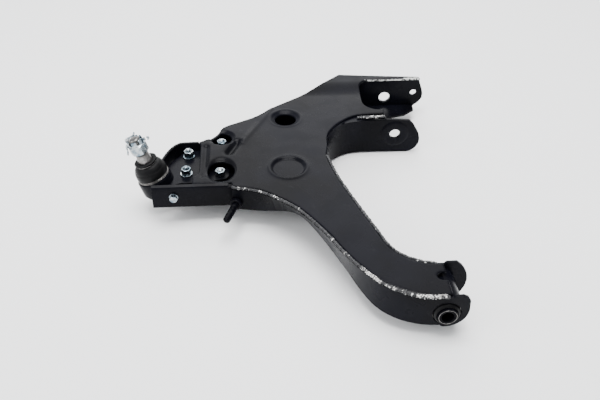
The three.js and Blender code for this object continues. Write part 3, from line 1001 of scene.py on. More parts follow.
@dataclass
class UpperPressing:
    """Upper sheet of the arm, with its beads, dished holes, crease and rolled edges."""

    datum: Datum
    fitter: Fitter
    sheet: float = 3.2
    edge_radius: float = 1.7
    rim_step: float = 2.0
    grid: float = 3.6
    fine_grid: float = 1.5
    joggle: Joggle = Joggle()
    dish: tuple[float, float, float] = (-12.0, 78.0, 23.5)
    dish_depth: float = 2.3
    round_hole: tuple[float, float, float] = (-10.8, 211.5, 16.5)
    access_far: tuple[float, float, float] = (-110.0, 162.0, 15.0)
    access_near: tuple[float, float, float] = (-109.0, 77.0, 16.5)
    access_stretch: float = 1.45
    crease: Furrow = Furrow(((-31.8, 239.0), (-79.4, 145.2)), 1.3, 4.6, 9.0)
    dent: Furrow = Furrow(((-86.4, 148.9), (-98.0, 122.0)), -5.2, 5.6, 13.0)
    groove: Furrow = Furrow(((-132.5, 66.0), (-132.5, 138.0)), -2.6, 4.2, 9.0)
    far_edge: tuple[Point2, Point2] = ((91.0, 337.5), (205.0, 324.0))
    # painted highlight: a bright line along the window's far edge and a brighter patch near its end
    highlight_edge: HighlightStrip = HighlightStrip(((128.0, 316.0), (222.0, 316.0)), 1.3, 0.52)
    highlight_spot: HighlightStrip = HighlightStrip(((196.0, 317.5), (220.0, 317.5)), 2.2, 0.66)

    def outlines(self) -> list[np.ndarray]:
        """Outlines of the sheet and its holes, read from the frame.

        Returns:
            One closed row of drawing points for each outline.
        """
        build = merged("upper_plate")
        build.faces.ensure_lookup_table()
        after: dict[int, int] = {}
        places = {v.index: self.datum.drawn(v.co) for v in build.verts}
        for face in build.faces:
            if face.normal.z < 0.8:
                continue
            for loop in face.loops:
                other = loop.link_loop_radial_next.face
                if other.normal.z < 0.8:
                    after[loop.vert.index] = loop.link_loop_next.vert.index
        build.free()
        rows = []
        while after:
            start, here = after.popitem()
            row = [start]
            while here != start and here in after:
                row.append(here)
                here = after.pop(here)
            rows.append(np.array([places[i].xy for i in row]))
        centre = np.array(self.dish[:2])
        return [row for row in rows if len(row) > 7 and np.linalg.norm(row - centre, axis=1).max() > 30]

    def resampled(self, row: np.ndarray) -> np.ndarray:
        """Adds points on the long edges of an outline."""
        result = []
        for here, ahead in zip(row, np.roll(row, -1, axis=0)):
            count = max(1, round(float(np.linalg.norm(ahead - here)) / self.rim_step))
            result += [here + (ahead - here) * k / count for k in range(count)]
        return np.array(result)

    @staticmethod
    def inside(points: np.ndarray, rims: Sequence[np.ndarray]) -> np.ndarray:
        """Which points lie in the sheet and outside its holes."""
        flags = np.zeros(len(points), bool)
        for rim in rims:
            for (x0, y0), (x1, y1) in zip(rim, np.roll(rim, -1, axis=0)):
                if y0 == y1:
                    continue
                crosses = (points[:, 1] > y0) != (points[:, 1] > y1)
                at = x0 + (points[:, 1] - y0) * (x1 - x0) / (y1 - y0)
                flags ^= crosses & (points[:, 0] < at)
        return flags

    @staticmethod
    def to_segment(points: np.ndarray, ends: tuple[Point2, Point2]) -> np.ndarray:
        """Distance of each point to a straight segment."""
        start, end = np.array(ends[0]), np.array(ends[1])
        along = end - start
        t = np.clip((points - start) @ along / (along @ along), 0, 1)
        return np.linalg.norm(points - start - t[:, None] * along, axis=1)

    def to_rims(self, points: np.ndarray, rims: Sequence[np.ndarray]) -> np.ndarray:
        """Distance of each point to the nearest outline."""
        nearest = np.full(len(points), 1e9)
        for rim in rims:
            for here, ahead in zip(rim, np.roll(rim, -1, axis=0)):
                nearest = np.minimum(nearest, self.to_segment(points, (tuple(here), tuple(ahead))))
        return nearest

    def relief(self, points: np.ndarray) -> np.ndarray:
        """Height of the pressed surface at each drawing point."""
        x, y = points[:, 0], points[:, 1]
        height = self.joggle.height(y)
        dish = np.hypot(x - self.dish[0], y - self.dish[1])
        height = height - self.dish_depth * smoothstep((self.dish[2] + 2.4 - dish) / 4.8)
        height = height + 1.0 * np.exp(-((dish - self.dish[2] - 4.2) / 2.6) ** 2)
        hole = np.hypot(x - self.round_hole[0], y - self.round_hole[1]) - self.round_hole[2]
        height = height - 2.6 * smoothstep((7.5 - hole) / 6.5)
        height = height + 0.5 * np.exp(-((hole - 9.0) / 2.0) ** 2)
        far = np.hypot(x - self.access_far[0], y - self.access_far[1]) - self.access_far[2]
        height = height - 2.8 * smoothstep((7.0 - far) / 7.0)
        near = np.hypot(x - self.access_near[0], (y - self.access_near[1]) / self.access_stretch)
        height = height - 2.8 * smoothstep((7.0 - near + self.access_near[2]) / 7.0)
        for furrow in (self.crease, self.dent, self.groove):
            away = self.to_segment(points, furrow.line) / furrow.width
            height = height + furrow.height * np.exp(-away ** 2)
        ripple = np.sin(x / 31 + 1.1 * np.sin(y / 47)) * np.sin(y / 38 + 0.7 * np.sin(x / 29))
        return height + 0.16 * ripple

    def seeds(self, rims: Sequence[np.ndarray]) -> np.ndarray:
        """Points inside the sheet: rows along its edges, a coarse grid and a fine one on its details."""
        rows = []
        for rim in rims:
            along = np.roll(rim, -1, axis=0) - np.roll(rim, 1, axis=0)
            normal = np.stack([-along[:, 1], along[:, 0]], axis=1)
            normal /= np.maximum(np.linalg.norm(normal, axis=1), 1e-9)[:, None]
            for inset in (0.25, 0.8, 1.8):
                row = rim + normal * inset
                rows.append(row[np.abs(self.to_rims(row, rims) - inset) < inset * 0.2])
        low = rims[0].min(axis=0)
        high = rims[0].max(axis=0)
        for rim in rims:
            low, high = np.minimum(low, rim.min(axis=0)), np.maximum(high, rim.max(axis=0))
        fine = self.lattice(low, high, self.fine_grid)
        detail = np.hypot(fine[:, 0] - self.dish[0], fine[:, 1] - self.dish[1])
        near = (detail > self.dish[2] - 5) & (detail < self.dish[2] + 8)
        detail = np.hypot(fine[:, 0] - self.round_hole[0], fine[:, 1] - self.round_hole[1])
        near |= detail < self.round_hole[2] + 12
        for furrow in (self.crease, self.dent, self.groove):
            near |= self.to_segment(fine, furrow.line) < furrow.reach
        for x, y, r in (self.access_far, self.access_near):
            near |= np.hypot(fine[:, 0] - x, fine[:, 1] - y) < r * self.access_stretch + 8
        near |= self.joggle.near(fine[:, 1])
        coarse = self.lattice(low, high, self.grid)
        grid = np.concatenate([fine[near], coarse])
        return np.concatenate([*rows, grid[self.to_rims(grid, rims) > 2.4]])

    @staticmethod
    def lattice(low: np.ndarray, high: np.ndarray, step: float) -> np.ndarray:
        """Points of a grid whose odd rows are shifted by half a step."""
        xs = np.arange(low[0], high[0], step)
        ys = np.arange(low[1], high[1], step * 0.866)
        return np.array([(x + (row % 2) * step / 2, y) for row, y in enumerate(ys) for x in xs])

    def shell(self) -> Shape:
        """The pressed sheet as a closed shell."""
        rims = [self.resampled(row) for row in self.outlines()]
        seeds = self.seeds(rims)
        seeds = seeds[self.inside(seeds, rims)]
        points, edges = [], []
        for rim in rims:
            base = len(points)
            points += [Vector(p) for p in rim]
            edges += [(base + i, base + (i + 1) % len(rim)) for i in range(len(rim))]
        points += [Vector(p) for p in seeds]
        flat, _, triangles, *_ = delaunay_2d_cdt(points, edges, [], 0, 1e-4)
        plan = np.array([tuple(p) for p in flat])
        loops = np.array([tuple(t) for t in triangles])
        loops = loops[self.inside(plan[loops].mean(axis=1), rims)]
        depth = np.clip(self.to_rims(plan, rims), 0, self.edge_radius)
        drop = self.edge_radius - np.sqrt(self.edge_radius ** 2 - (self.edge_radius - depth) ** 2)
        height = self.relief(plan)
        count = len(plan)
        shape = Shape([(x, y, z) for (x, y), z in zip(plan, height - drop)])
        shape.points += [(x, y, z - self.sheet) for (x, y), z in zip(plan, height)]
        uses: dict[tuple[int, int], tuple[int, int]] = {}
        for a, b, c in loops.tolist():
            shape.faces += [(a, b, c), (c + count, b + count, a + count)]
            for pair in ((a, b), (b, c), (c, a)):
                key = tuple(sorted(pair))
                if key in uses:
                    del uses[key]
                else:
                    uses[key] = pair
        shape.faces += [(b, a, a + count, b + count) for a, b in uses.values()]
        return shape

    def lip(self) -> Shape:
        """Strip bent down along the far edge."""
        (x0, y0), (x1, y1) = self.far_edge
        along = Vector((x1 - x0, y1 - y0)).normalized()
        inner = Vector((along.y, -along.x)) * self.sheet
        section = fillet([(0.0, 4.6), (0.0, -8.0), (1.0, -8.0), (1.0, 4.6)], 0.5)
        shape = Shape()
        for x, y in ((x0, y0), (x1, y1)):
            shape.points += [(x + inner.x * t, y + inner.y * t, z) for t, z in section]
        count = len(section)
        for k in range(count):
            n = (k + 1) % count
            shape.faces.append((k, n, n + count, k + count))
        shape.faces += [tuple(range(count)), tuple(range(count, 2 * count))]
        return shape

    def mark_painted_highlight(self, piece: bpy.types.Object) -> None:
        """Writes where a highlight is painted in the coat's pale chip colour, along the far edge of the
        window.
        """
        places = np.array([self.datum.drawn(v.co)[:] for v in piece.data.vertices])
        strips = [np.exp(-(self.to_segment(places[:, :2], wear.line) / wear.width) ** 2) * wear.strength
                  for wear in (self.highlight_edge, self.highlight_spot)]
        # painted highlight strength, on the raised face by the clevis only
        wear_and_highlight = np.where(places[:, 2] > 2.0, np.maximum(*strips), 0.0)
        attribute = piece.data.attributes.new("wear_and_highlight", "FLOAT", "POINT")
        attribute.data.foreach_set("value", wear_and_highlight.astype(np.float32))

    def build(self) -> None:
        """Makes the pressing and fits it."""
        shape = self.shell().add(self.lip())
        piece = shape.object("upper_pressing", self.datum.place(), self.fitter.palette[Slot.COAT], 38.0)
        self.mark_painted_highlight(piece)
        self.fitter.fit(piece, Body.ARM, Slot.COAT, "upper_plate")


# ------------------------------------------------------------------ walls, floor and bosses
@dataclass
class BoxSection:
    """Walls and floor that close the arm under its upper pressing."""

    datum: Datum
    fitter: Fitter
    ease: dict[str, float] = field(default_factory=lambda: {
        "front_wall": 1.0, "leg_inner_wall": 1.0, "clevis_near_wall": 1.3, "clevis_far_wall": 1.3,
        "rear_wall": 1.0, "pocket_rim": 1.2, "ball_end_wall": 2.2, "ball_joint_carrier": 0.8,
        "lower_plate": 1.0,
    })
    boss_radius: float = 23.0
    boss_height: float = 2.6
    clevis_faces: tuple[float, float] = (200.7, 320.3)
    hole_radii: tuple[float, float] = (8.5, 9.5)
    pivot: Point2 = (164.0, -29.0)

    def boss(self, name: str, face: float, outward: int, hole: float) -> bpy.types.Object:
        """Round embossed seat of the clevis bolt.

        Args:
            name: Name of the piece.
            face: Place of the wall's outer face along the pivot axis.
            outward: Direction in which it stands out, -1 or 1.
            hole: Radius of its hole.

        Returns:
            The boss.
        """
        r, h = self.boss_radius, self.boss_height
        profile = [(hole, 0.0), (hole, h * 0.62), (r * 0.74, h * 0.62), (r * 0.86, h * 0.45), (r, 0.0)]
        origin = self.datum.at(self.pivot[0], face, self.pivot[1])
        place = Placement.along(origin, Vector((0, outward, 0)))
        return lathe(fillet(profile, 1.4)).object(name, place, self.fitter.palette[Slot.COAT], 60.0)

    def build(self) -> None:
        """Makes the walls and bosses and fits them."""
        for node, width in self.ease.items():
            self.fitter.ease(node, f"{node}_sheet", width, Slot.COAT)
        for side, face, outward, hole in zip(("near", "far"), self.clevis_faces, (-1, 1), self.hole_radii):
            boss = self.boss(f"{side}_boss", face, outward, hole)
            self.fitter.fit(boss, Body.ARM, Slot.COAT, f"clevis_{side}_boss")


# ------------------------------------------------------------------ weld beads
@dataclass
class WeldBeads:
    """Rippled beads between the upper pressing and the walls, with the coat missing in places."""

    datum: Datum
    fitter: Fitter
    spacing: float = 1.5
    half_height: float = 1.75
    crown: float = -1.5
    joggle: Joggle = Joggle()
    # Stretches of bare metal along each bead: middle, half length and strength, as shares of the bead.
    bare: dict[str, tuple[Point3, ...]] = field(default_factory=lambda: {
        "front_weld": ((0.06, 0.10, 0.58), (0.19, 0.035, 0.42), (0.27, 0.06, 0.54), (0.40, 0.03, 0.38),
                       (0.50, 0.02, 0.36), (0.70, 0.02, 0.34), (0.80, 0.03, 0.42), (0.88, 0.02, 0.46),
                       (0.96, 0.03, 0.52)),
        "leg_inner_weld": ((0.05, 0.05, 0.36), (0.42, 0.06, 0.28), (0.80, 0.05, 0.26)),
        "clevis_weld": ((0.62, 0.42, 0.62),),
    })
    # Half widths of each bead at its first end and along the rest of it.
    widths: dict[str, Point2] = field(default_factory=lambda: {
        "front_weld": (4.2, 2.3), "leg_inner_weld": (2.3, 2.3), "clevis_weld": (3.6, 3.6),
    })
    straight: tuple[str, ...] = ("clevis_weld",)

    def centre_line(self, node: str) -> list[Vector]:
        """Centre line of a bead's solid, in drawing points.

        Args:
            node: The bead's node.

        Returns:
            Points from the end nearest the leg's bush.
        """
        if node in self.straight:
            low, high = (self.datum.drawn(corner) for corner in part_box(node))
            middle = (low.y + high.y) / 2
            return [Vector((low.x + (high.x - low.x) * k / 60, middle, 0.0)) for k in range(61)]
        build = merged(node)
        after = {}
        for face in build.faces:
            for loop in face.loops:
                if face.normal.z > 0.8 and loop.link_loop_radial_next.face.normal.z < 0.8:
                    after[loop.vert.index] = loop.link_loop_next.vert.index
        places = {v.index: self.datum.drawn(v.co) for v in build.verts}
        build.free()
        order = [next(iter(after))]
        while after[order[-1]] != order[0]:
            order.append(after[order[-1]])
        ring = [places[i] for i in order]
        count = len(ring)
        span = [(ring[i] - ring[j]).length for i in range(count) for j in range(count)]
        first, second = sorted(divmod(int(np.argmax(span)), count))
        there = ring[first:second + 1]
        back = (ring[second:] + ring[:first + 1])[::-1]
        steps = 60
        line = [(self.along(there, k / steps) + self.along(back, k / steps)) / 2 for k in range(steps + 1)]
        return line if line[0].y < line[-1].y else line[::-1]

    @staticmethod
    def along(line: Sequence[Vector], share: float) -> Vector:
        """The point at a share of a line's length."""
        lengths = [(b - a).length for a, b in zip(line, line[1:])]
        left = share * sum(lengths)
        for (a, b), length in zip(zip(line, line[1:]), lengths):
            if left <= length:
                return a.lerp(b, left / max(length, 1e-9))
            left -= length
        return line[-1]

    def tree(self, name: str, seed: int, widths: Point2) -> NodeTree:
        """Geometry nodes that lay ripples along a curve.

        Args:
            name: Name of the tree.
            seed: Seed of its random sizes.
            widths: Half width of the ripples at the curve's start and after its first third.

        Returns:
            The tree.
        """
        tree = NodeTree(name)
        spacing = tree.size("Spacing", self.spacing)
        start = tree.size("Half width at the start", widths[0])
        rest = tree.size("Half width", widths[1])
        tall = tree.size("Half height", self.half_height)
        number = tree.size("Seed", seed, "NodeSocketInt")
        line = tree.add("GeometryNodeResampleCurve", {"Curve": tree.inlet.outputs[0], "Length": spacing},
                        mode="LENGTH")
        share = tree.add("GeometryNodeSplineParameter").outputs["Factor"]
        wide = tree.add("ShaderNodeMapRange", {"Value": share, "From Min": 0.12, "From Max": 0.34,
                                               "To Min": start, "To Max": rest})
        size = tree.add("ShaderNodeCombineXYZ", {"X": 1.5, "Y": wide.outputs["Result"], "Z": tall})
        drop = tree.add("GeometryNodeMeshIcoSphere", {"Radius": 1.0, "Subdivisions": 3})
        scale = tree.add("FunctionNodeRandomValue", {"Seed": number}, data_type="FLOAT_VECTOR")
        scale.inputs[0].default_value = (0.75, 0.62, 0.74)
        scale.inputs[1].default_value = (1.25, 1.22, 1.26)
        total = tree.add("ShaderNodeVectorMath", {0: size.outputs[0], 1: scale.outputs[0]},
                         operation="MULTIPLY")
        tangent = tree.add("GeometryNodeInputTangent")
        turn = tree.add("FunctionNodeAlignRotationToVector", {"Vector": tangent.outputs[0]}, axis="X")
        ripples = tree.add("GeometryNodeInstanceOnPoints", {
            "Points": line.outputs[0], "Instance": drop.outputs[0], "Rotation": turn.outputs[0],
            "Scale": total.outputs[0]})
        tree.finish(ripples.outputs[0], self.fitter.palette[Slot.WELD])
        return tree

    def bead(self, node: str, seed: int) -> bpy.types.Object:
        """One bead with its bare stretches.

        Args:
            node: The bead's node.
            seed: Seed of its ripples.

        Returns:
            The bead.
        """
        line = self.centre_line(node)
        curve = bpy.data.curves.new(f"{node}_line", "CURVE")
        curve.dimensions = "3D"
        spline = curve.splines.new("POLY")
        spline.points.add(len(line) - 1)
        for point, place in zip(spline.points, line):
            point.co = (place.x, place.y, self.crown + self.joggle.height(place.y), 1.0)
        holder = bpy.data.objects.new(f"{node}_ripples", curve)
        bpy.context.scene.collection.objects.link(holder)
        modifier = holder.modifiers.new("ripples", "NODES")
        tree = self.tree(f"{node}_ripples", seed, self.widths[node])
        modifier.node_group = tree.tree
        for name, value in tree.values.items():
            modifier[tree.sockets[name]] = value
        bpy.context.view_layer.update()
        graph = bpy.context.evaluated_depsgraph_get()
        mesh = bpy.data.meshes.new_from_object(holder.evaluated_get(graph), depsgraph=graph)
        bpy.data.objects.remove(holder)
        piece = new_object(f"{node}_bead", mesh)
        self.mark_bare(piece, node, line)
        piece.data.transform(self.datum.place().matrix)
        return dressed(piece, self.fitter.palette[Slot.WELD], 60.0)

    def mark_bare(self, piece: bpy.types.Object, node: str, line: Sequence[Vector]) -> None:
        """Writes how bare the bead is at each of its points.

        Args:
            piece: The bead, in drawing points.
            node: Its node.
            line: Its centre line.
        """
        path = np.array([p.xy for p in line])
        places = np.array([v.co.xy for v in piece.data.vertices])
        share = np.array([np.argmin(np.linalg.norm(path - p, axis=1)) for p in places]) / (len(path) - 1)
        bare = np.zeros(len(places))
        for middle, reach, strength in self.bare[node]:
            bare = np.maximum(bare, strength * np.exp(-((share - middle) / reach) ** 2))
        bare *= 0.85 + 0.3 * np.sin(places[:, 0] * 1.7) * np.cos(places[:, 1] * 1.3)
        attribute = piece.data.attributes.new("bare", "FLOAT", "POINT")
        attribute.data.foreach_set("value", bare.astype(np.float32))

    def build(self) -> None:
        """Makes the beads and fits them."""
        for seed, node in enumerate(self.bare):
            self.fitter.fit(self.bead(node, seed + 3), Body.ARM, Slot.WELD, node)


# ------------------------------------------------------------------ pivot bush
@dataclass
class PivotBush:
    """Tube, rubber and sleeves in the end of the long leg."""

    datum: Datum
    fitter: Fitter
    bore: float = 8.0
    sleeve: float = 12.5
    rubber: float = 16.4
    outer: float = 18.2
    tube: float = 21.2
    gap: float = 0.3
    half_length: float = 36.5
    tube_half: float = 26.5
    # radius and wire of the bare steel rings that paint a highlight on the sleeve's end faces
    rim: float = 11.0
    highlight_ring_wire: float = 0.35
    tube_proud: float = 0.25
    rubber_half: float = 33.5

    def place(self) -> Placement:
        """Frame at the bush's middle, with Z along the pivot axis."""
        low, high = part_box("bush_inner_sleeve")
        return Placement.along((low + high) / 2, Vector((0, 1, 0)))

    def tube_place(self) -> Placement:
        """Frame at the tube's middle."""
        low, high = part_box("bush_tube")
        return Placement.along((low + high) / 2, Vector((0, 1, 0)))

    def ring(self, inner: float, outer: float, half: float, ease: float) -> Shape:
        """Plain ring with eased edges."""
        return lathe(fillet([(inner, -half), (outer, -half), (outer, half), (inner, half)], ease))

    def serrations(self, name: str, material: bpy.types.Material) -> Shape:
        """Fine radial teeth on both faces of the inner sleeve.

        Args:
            name: Name of the node tree.
            material: Their material.

        Returns:
            The teeth, in the bush's frame.
        """
        tree = NodeTree(name)
        count = tree.size("Teeth", 44, "NodeSocketInt")
        radius = tree.size("Middle radius", (self.bore + self.sleeve) / 2)
        ring = tree.add("GeometryNodeMeshCircle", {"Vertices": count, "Radius": radius})
        tooth = tree.add("GeometryNodeMeshCube", {"Size": (self.sleeve - self.bore - 1.6, 0.5, 0.5)})
        place = tree.add("GeometryNodeInputPosition")
        turn = tree.add("FunctionNodeAlignRotationToVector", {"Vector": place.outputs[0]}, axis="X")
        teeth = tree.add("GeometryNodeInstanceOnPoints", {
            "Points": ring.outputs[0], "Instance": tooth.outputs[0], "Rotation": turn.outputs[0]})
        tree.finish(teeth.outputs[0], material)
        piece = tree.apply(new_object(name, bpy.data.meshes.new(name)))
        shape = Shape()
        faces = [tuple(face.vertices) for face in piece.data.polygons]
        for end in (-self.half_length, self.half_length):
            shape.add(Shape([(v.co.x, v.co.y, v.co.z + end) for v in piece.data.vertices], faces))
        bpy.data.objects.remove(piece)
        return shape

    def rubber_ring(self) -> Shape:
        """Rubber with its moulded end lips."""
        low, high = -self.rubber_half, self.rubber_half
        inner, outer = self.sleeve + self.gap, self.rubber
        profile = [(inner, low), (inner + 1.2, low - 0.5), (outer - 1.4, low + 0.4), (outer, low + 2.4),
                   (outer, high - 2.4), (outer - 1.4, high - 0.4), (inner + 1.2, high + 0.5), (inner, high)]
        return lathe(fillet(profile, 0.9))

    def build(self) -> None:
        """Makes the bush and fits it."""
        place, tube_place = self.place(), self.tube_place()
        make = self.fitter.make
        tube = self.ring(self.outer + self.gap, self.tube, self.tube_half + self.tube_proud, 0.8)
        shell = self.ring(self.rubber + self.gap, self.outer, self.tube_half, 0.5)
        teeth = self.serrations("teeth", self.fitter.palette[Slot.COAT])
        sleeve = self.ring(self.bore, self.sleeve, self.half_length, 0.7).add(teeth)
        make(tube, "bush_housing_tube", tube_place, Body.ARM, Slot.COAT, "bush_tube")
        make(shell, "bush_shell", tube_place, Body.ARM, Slot.STEEL, "bush_outer_sleeve")
        make(self.rubber_ring(), "bush_rubber_ring", place, Body.ARM, Slot.RUBBER, "bush_rubber")
        make(sleeve, "bush_sleeve_coated", place, Body.SLEEVE, Slot.COAT, "bush_inner_sleeve")
        # painted highlight: a thin bare steel ring on each coated sleeve face, standing in for the highlight
        # of the sleeve's edge
        rims = Shape()
        for end in (-self.half_length, self.half_length):
            rims.add(wire_ring(self.rim, end, self.highlight_ring_wire))
        make(rims, "bush_sleeve_highlight_rings", place, Body.SLEEVE, Slot.STEEL)


# ------------------------------------------------------------------ stabiliser stud
@dataclass
class LinkStud:
    """Threaded stud on the front wall, for the stabiliser link."""

    datum: Datum
    fitter: Fitter
    root: Point3 = (-87.0, 30.4, -24.0)
    heading: float = 250.2
    radius: float = 5.0
    length: float = 44.0
    collar: float = 8.5

    def build(self) -> None:
        """Makes the stud and its collar and fits them."""
        angle = math.radians(self.heading)
        axis = Vector((math.cos(angle), math.sin(angle), 0.0))
        place = Placement.along(self.datum.at(*self.root), axis, Vector((0, 0, 1)))
        coat = self.fitter.palette[Slot.COAT]
        r, tip = self.radius, self.length
        core = [(0.0, 1.0), (r - 0.9, 1.0), (r - 0.9, tip - 2.2), (r - 2.0, tip - 0.4), (0.0, tip)]
        stud = lathe(fillet(core, 0.5, closed=False), closed=False, steps=48)
        shoulder = [(0.0, 1.0), (r, 1.0), (r, 12.0), (r - 0.9, 13.0), (0.0, 13.0)]
        stud.add(lathe(fillet(shoulder, 0.3, closed=False), closed=False, steps=48))
        stud.add(Thread(r, 1.5, 13.0, tip - 2.4).shape("stud_thread", coat))
        self.fitter.make(stud, "link_stud", place, Body.ARM, Slot.COAT, "threaded_stud")
        far = self.collar
        ring = lathe(fillet([(r + 0.3, 1.0), (far, 1.0), (far, 6.0), (far - 1.0, 7.0), (r + 0.3, 7.0)], 0.6))
        self.fitter.make(ring, "link_stud_collar", place, Body.ARM, Slot.COAT, "stud_collar")


# ------------------------------------------------------------------ fasteners
@dataclass
class Fasteners:
    """Bolts, nuts and washers of the ball joint's flange and of the wall beside it."""

    datum: Datum
    fitter: Fitter
    bolt_radius: float = 4.0
    flats: float = 13.0
    head: float = 5.3
    pitch: float = 1.25
    washer_radius: float = 9.0
    clearance: float = 0.3
    side_radius: float = 3.0
    side_flats: float = 10.0
    side_washer: float = 6.3
    side_face: float = 40.0

    @staticmethod
    def upright(node: str) -> tuple[Placement, float]:
        """Frame on a node's vertical axis at its lowest point, and the node's height in millimetres."""
        low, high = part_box(node)
        origin = Vector(((low.x + high.x) / 2, (low.y + high.y) / 2, low.z))
        return Placement.along(origin, Vector((0, 0, 1))), (high.z - low.z) / MM

    def bolt(self, number: int) -> None:
        """Makes and fits a bolt with its head below and its threaded end above."""
        place, height = self.upright(f"joint_bolt_{number}")
        zinc = self.fitter.palette[Slot.ZINC]
        r, head = self.bolt_radius, self.head
        shank = [(0.0, head - 1), (r - 0.6, head - 1), (r - 0.6, height - 1.3), (r - 1.5, height - 0.3),
                 (0.0, height)]
        shape = hexagon(self.flats, 0.0, head, 0.0, washer=0.4)
        shape.add(lathe(fillet(shank, 0.7, closed=False), closed=False, steps=48))
        shape.add(Thread(r, self.pitch, head + 6, height - 1.3).shape(f"bolt_thread_{number}", zinc))
        self.fitter.make(shape, f"flange_bolt_{number}", place, Body.ARM, Slot.ZINC, f"joint_bolt_{number}")

    def nut(self, number: int) -> None:
        """Makes and fits a nut with a low round face under it, each turned its own way."""
        place, height = self.upright(f"joint_nut_{number}")
        turned = place.turned(0.4 + 0.5 * number)
        shape = hexagon(self.flats, 0.0, height, self.bolt_radius + self.clearance, washer=0.4)
        self.fitter.make(shape, f"flange_nut_{number}", turned, Body.ARM, Slot.ZINC, f"joint_nut_{number}")

    def washer(self, number: int) -> None:
        """Makes and fits the washer under a nut."""
        place, height = self.upright(f"joint_washer_{number}")
        inner, outer = self.bolt_radius + self.clearance, self.washer_radius
        ring = lathe(fillet([(inner, 0.0), (outer, 0.0), (outer, height), (inner, height)], 0.6))
        self.fitter.make(ring, f"flange_washer_{number}", place, Body.ARM, Slot.ZINC,
                         f"joint_washer_{number}")

    def side(self) -> None:
        """Makes and fits the small bolt through the wall beside the ball joint, its washer and nut."""
        low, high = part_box("side_bolt")
        middle = (low + high) / 2
        face = self.datum.at(0, self.side_face, 0).y
        tip = (high.y - face) / MM
        place = Placement.along(Vector((middle.x, face, middle.z)), Vector((0, -1, 0)))
        r, inner, outer = self.side_radius, self.side_radius + self.clearance, self.side_washer
        shank = [(0.0, -tip), (r - 1.1, 0.4 - tip), (r - 0.5, 1.2 - tip), (r - 0.5, 3.0), (0.0, 3.0)]
        bolt = hexagon(self.side_flats, 2.5, 7.0, 0.0, washer=0.3)
        bolt.add(lathe(fillet(shank, 0.4, closed=False), closed=False, steps=40))
        bolt.add(Thread(r, 1.0, 1.2 - tip, 0.0).shape("side_thread", self.fitter.palette[Slot.ZINC]))
        ring = lathe(fillet([(inner, 0.3), (outer, 0.3), (outer, 2.2), (inner, 2.2)], 0.5))
        low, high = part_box("side_nut")
        depth = (high.y - low.y) / MM
        base = (face - high.y) / MM
        nut = hexagon(self.side_flats, base, base + depth, inner, washer=0.3)
        for shape, part in ((bolt, "bolt"), (ring, "washer"), (nut, "nut")):
            self.fitter.make(shape, f"side_wall_{part}", place, Body.ARM, Slot.ZINC, f"side_{part}")

    def build(self) -> None:
        """Makes every fastener and fits it."""
        for number in range(1, 5):
            self.bolt(number)
            self.nut(number)
        for number in (1, 2):
            self.washer(number)
        self.side()


